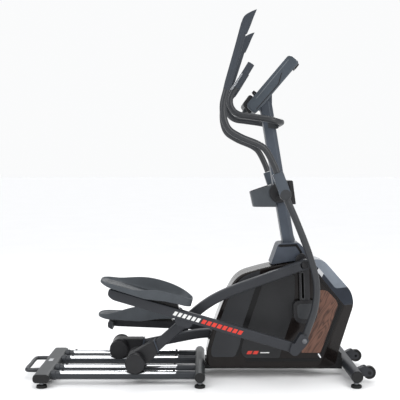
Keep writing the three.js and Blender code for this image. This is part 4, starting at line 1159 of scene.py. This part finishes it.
PEDAL_FLOOR = [(-430, 73), (-200, 78), (-100, 91), (12, 96)]
PEDAL_INNER_RIM = [(-430, 80), (-346, 92), (-280, 116), (-234, 130), (-186, 137), (-137, 138), (-86, 135),
                   (-33, 124), (-4, 115), (14, 109)]
PEDAL_OUTER_RIM = [(-430, 79), (-270, 80), (-212, 95), (-168, 110), (-122, 115), (-40, 117), (-4, 113),
                   (14, 109)]
PEDAL_BASE = [(-418, 66), (-372, 58), (-202, 55), (-112, 71), (-50, 76), (6, 75)]
PEDAL = {"inner": 128, "outer": 286, "rear": -424, "front": 13}


def pedal_outline(inset, front_extra=0):
    """Plan of the pedal as matching halves, so that it can be filled across."""
    half_width = (PEDAL["outer"] - PEDAL["inner"]) / 2 - inset
    rear, front = PEDAL["rear"] + inset, PEDAL["front"] - inset - front_extra
    length = front - rear
    reach = min(66, half_width, length / 2)
    points = []
    count = 44
    for k in range(count + 1):
        t = 0.5 - 0.5 * math.cos(math.pi * k / count)
        u = rear + length * t
        near_end = min(u - rear, front - u)
        if near_end < reach:
            share = min(max(1 - near_end / reach, 0.0), 1.0)
            w = half_width - reach + reach * (1 - share ** 2.4) ** (1 / 2.4)
        else:
            w = half_width
        points.append((u, max(w, 0.4)))
    return [(u, w) for u, w in points] + [(u, -w) for u, w in reversed(points)]


def fill_across(rings):
    """Skin over the rings, and quads across the first and last between matching points."""
    verts, faces = loft(rings, capped=False)
    count = len(rings[0])
    for base in (0, (len(rings) - 1) * count):
        for i in range(count // 2 - 1):
            faces.append((base + i, base + i + 1, base + count - 2 - i, base + count - 1 - i))
    return verts, faces


# inset from the outline, and the height there as a function of those of the base, the floor and the rim
PEDAL_PROFILE = [
    (12, lambda base, floor, rim: base),
    (3, lambda base, floor, rim: base),
    (0.6, lambda base, floor, rim: base + 1.2),
    (0, lambda base, floor, rim: base + 4),
    (0, lambda base, floor, rim: max(rim - 3.5, base + 5)),
    (1.2, lambda base, floor, rim: rim - 1),
    (3.2, lambda base, floor, rim: rim),
    (5.4, lambda base, floor, rim: rim - 0.8),
    (7, lambda base, floor, rim: max(rim - 4, floor + 1)),
    (9.5, lambda base, floor, rim: floor + 0.25 * max(rim - floor, 0) + 1),
    (15, lambda base, floor, rim: floor + 0.4),
    (24, lambda base, floor, rim: floor),
]


def pedal_rim(u, w):
    """Height of the rim, which changes smoothly from the outer side to the inner one."""
    share = min(max(0.5 - w / 60, 0.0), 1.0)
    share = share * share * (3 - 2 * share)
    return smooth_level(PEDAL_OUTER_RIM, u) * (1 - share) + smooth_level(PEDAL_INNER_RIM, u) * share


def add_pedal(side, sign, phase):
    pin, _, angle = link_frame(phase)
    centre = (PEDAL["inner"] + PEDAL["outer"]) / 2
    body = f"foot_link_{side}"

    def put(u, w, v):
        x, z = place([(u, v)], angle, pin)[0]
        return (x, sign * (centre + w), z)

    rings = [[put(u, w, height(level(PEDAL_BASE, u), level(PEDAL_FLOOR, u), pedal_rim(u, w)))
              for u, w in pedal_outline(inset)] for inset, height in PEDAL_PROFILE]
    piece(f"pedal_shell_{side}", fill_across(rings), "pedal", body, (f"pedal_{side}",))
    pad = [[put(u, w, level(PEDAL_FLOOR, u) + lift) for u, w in pedal_outline(inset, front_extra=26)]
           for lift, inset in ((-1, 22), (1.6, 22), (2.4, 23.2))]
    piece(f"pedal_mat_{side}", fill_across(pad), "pad", body)
    ribs = []
    for k in range(15):
        u = -392 + k * 15
        half = 46 if k > 2 else 30 + 6 * k
        rib = [(u, 3), (u + 14, half), (u + 18, half), (u + 5, 3)]
        for direction in (-1, 1):
            ribs.append(loft([[put(a, direction * b, level(PEDAL_FLOOR, a) + 1.4 + rise) for a, b in rib]
                              for rise in (0.0, 2.0)]))
    piece(f"pedal_ribs_{side}", merged(*ribs), "pedal", body, bevel=0.5)


# ------------------------------------------------------------------ swing arms


def add_swing_arm(side, sign, phase):
    _, bolt, _ = link_frame(phase)
    angle = math.atan2(bolt[0] - SWING_PIVOT[0], SWING_PIVOT[1] - bolt[1])
    body = f"swing_{side}"

    def at(t, s, y):
        x, z = place([(t, s)], angle, SWING_PIVOT)[0]
        return (x, sign * y, z)

    lower = SWING_LOWER + [(0, -SWING_LENGTH)]
    count = len(lower) - 1
    path = [at(t, s, 254 - 14 * i / count) for i, (t, s) in enumerate(lower)]
    arm = tube(path, SWING_TUBE_RADIUS, 70, 28)
    eye = rod_y(*bolt, 20, sign, 218, 262, 2)
    x, z = SWING_PIVOT
    hub = rod_y(x, z, 27, sign, 236, 276, 2.5, 48)
    lean = math.atan2(102, -23)
    sleeve_line = place(rounded([(6, -25), (105, -25), (105, 25), (6, 25)], 3, 3), lean, (0, 0))
    sleeve = slab(place(sleeve_line, angle, SWING_PIVOT), sign, 243, 279)
    piece(f"swing_tube_{side}", merged(arm, eye, hub), "tube_paint", body, (f"swing_arm_{side}",),
          bevel=0.6, sharp=60)
    piece(f"swing_sleeve_{side}", sleeve, "sleeve_paint", body, bevel=8, segments=4)
    cap = turned([(0, 275), (25.5, 275), (25.5, 277.5), (23.5, 279.5), (0, 280)], (x, 0, z), "y", 48, sign)
    piece(f"hub_cap_{side}", cap, "hub_pad", body)
    points = [at(t, s, y) for t, s, y in HANDLE_LINE]
    handle = tube(points, SWING_TUBE_RADIUS - 1, 110, 24)
    piece(f"handle_tube_{side}", handle, "tube_paint", body, (f"swing_handle_{side}",))
    add_grip(side, sign, body, at, points, angle)


def add_grip(side, sign, body, at, points, angle):
    """Foam sleeve over the top of the handle, ending in a forward-pointing beak."""
    path = smooth_path(points[-3:-1] + [at(-84, 788, HANDLE_Y)], 60)

    def section(share):
        swell = min(share / 0.12, 1.0)
        return circle(0, 0, 15.4 + 1.7 * swell * swell * (3 - 2 * swell), 28)

    foam = piece(f"foam_grip_{side}", sweep(path, section), "foam", body, (f"swing_grip_{side}",))
    line = place(rounded([(-113, 748, 3), (-81, 740, 3), (-58, 778, 60), (-44, 806, 40), (-24, 839, 3),
                          (-54, 832, 30), (-82, 820, 16), (-97, 800, 14)], 6, 6), angle, SWING_PIVOT)
    beak = slab(line, sign, HANDLE_Y - 15.5, HANDLE_Y + 15.5)
    piece(f"grip_beak_{side}", beak, "foam", body, bevel=7, segments=5)


# ------------------------------------------------------------------ build


add_stabilisers()
add_feet()
add_housing()
add_mast()
add_axle()
add_cup_holder()
add_fixed_handlebar()
add_console()
add_crank()
for side_name, side_sign, side_phase in SIDES:
    add_transport_wheel(side_name, side_sign)
    add_rails(side_name, side_sign)
    add_crank_arm(side_name, side_sign, side_phase)
    add_roller_arm(side_name, side_sign, side_phase)
    add_roller(side_name, side_sign, side_phase)
    add_foot_link(side_name, side_sign, side_phase)
    add_pedal(side_name, side_sign, side_phase)
    add_swing_arm(side_name, side_sign, side_phase)

# ------------------------------------------------------------------ stage, light and camera


def add_floor():
    mesh = bpy.data.meshes.new("studio_floor")
    mesh.from_pydata([(x, y, 0) for x, y in rectangle(0, 0, 120, 120)], [], [(0, 1, 2, 3)])
    mesh.materials.append(finish_material("pale_floor", (0.93, 0.93, 0.93), 0.8, 0.0, 0.1, (60, 0.02),
                                          (1.5, 0.01)))
    floor = linked("studio_floor", mesh)


def add_light(name, place_at, aim, size, power, color=(1, 1, 1)):
    data = bpy.data.lights.new(name, "AREA")
    data.shape = "RECTANGLE"
    data.size, data.size_y = size
    data.energy = power
    data.color = color
    light = linked(name, data)
    light.location = place_at
    light.rotation_euler = (Vector(aim) - Vector(place_at)).to_track_quat("-Z", "Y").to_euler()


def add_world():
    """Pale all-round light: white at the horizon, dimmer overhead, where the soft boxes take over."""
    world = bpy.data.worlds.new("studio")
    world.use_nodes = True
    tree = world.node_tree
    coords = tree.nodes.new("ShaderNodeTexCoord").outputs["Generated"]
    height = node(tree, "ShaderNodeSeparateXYZ", coords).outputs["Z"]
    colored(tree, height, tree.nodes["Background"].inputs["Color"], (0.25, (0.96, 0.965, 0.97)),
            (0.6, (0.55, 0.56, 0.58)))
    bpy.context.scene.world = world


def add_sky_panel(strength, spread):
    """Even light from straight overhead, so that the floor stays pale out to the horizon."""
    data = bpy.data.lights.new("overhead_even", "SUN")
    data.energy = strength
    data.angle = math.radians(spread)
    linked("overhead_even", data).rotation_euler = (math.radians(8), math.radians(-6), 0)


def add_studio():
    add_world()
    add_sky_panel(1.35, 60)
    add_light("front_right_strip", (2.4, -2.6, 2.3), (0.3, 0, 0.8), (0.7, 2.2), 40, (1, 0.99, 0.97))
    add_light("front_left_strip", (-2.4, -2.2, 2.6), (0.1, 0, 0.8), (0.7, 2.2), 36, (0.96, 0.98, 1))
    add_light("rear_strip", (0.4, 3.0, 2.8), (0.2, 0, 0.8), (2.4, 0.6), 45)


def add_camera():
    data = bpy.data.cameras.new("photo_camera")
    data.lens = 67.5
    data.sensor_width = 36
    camera = linked("photo_camera", data)
    camera.location = (0.0065, -3.69, 1.0356)
    camera.rotation_euler = (math.radians(90 - 2.67), 0, 0)
    bpy.context.scene.camera = camera
    bpy.context.scene.view_settings.view_transform = "Standard"


add_floor()
add_studio()
add_camera()
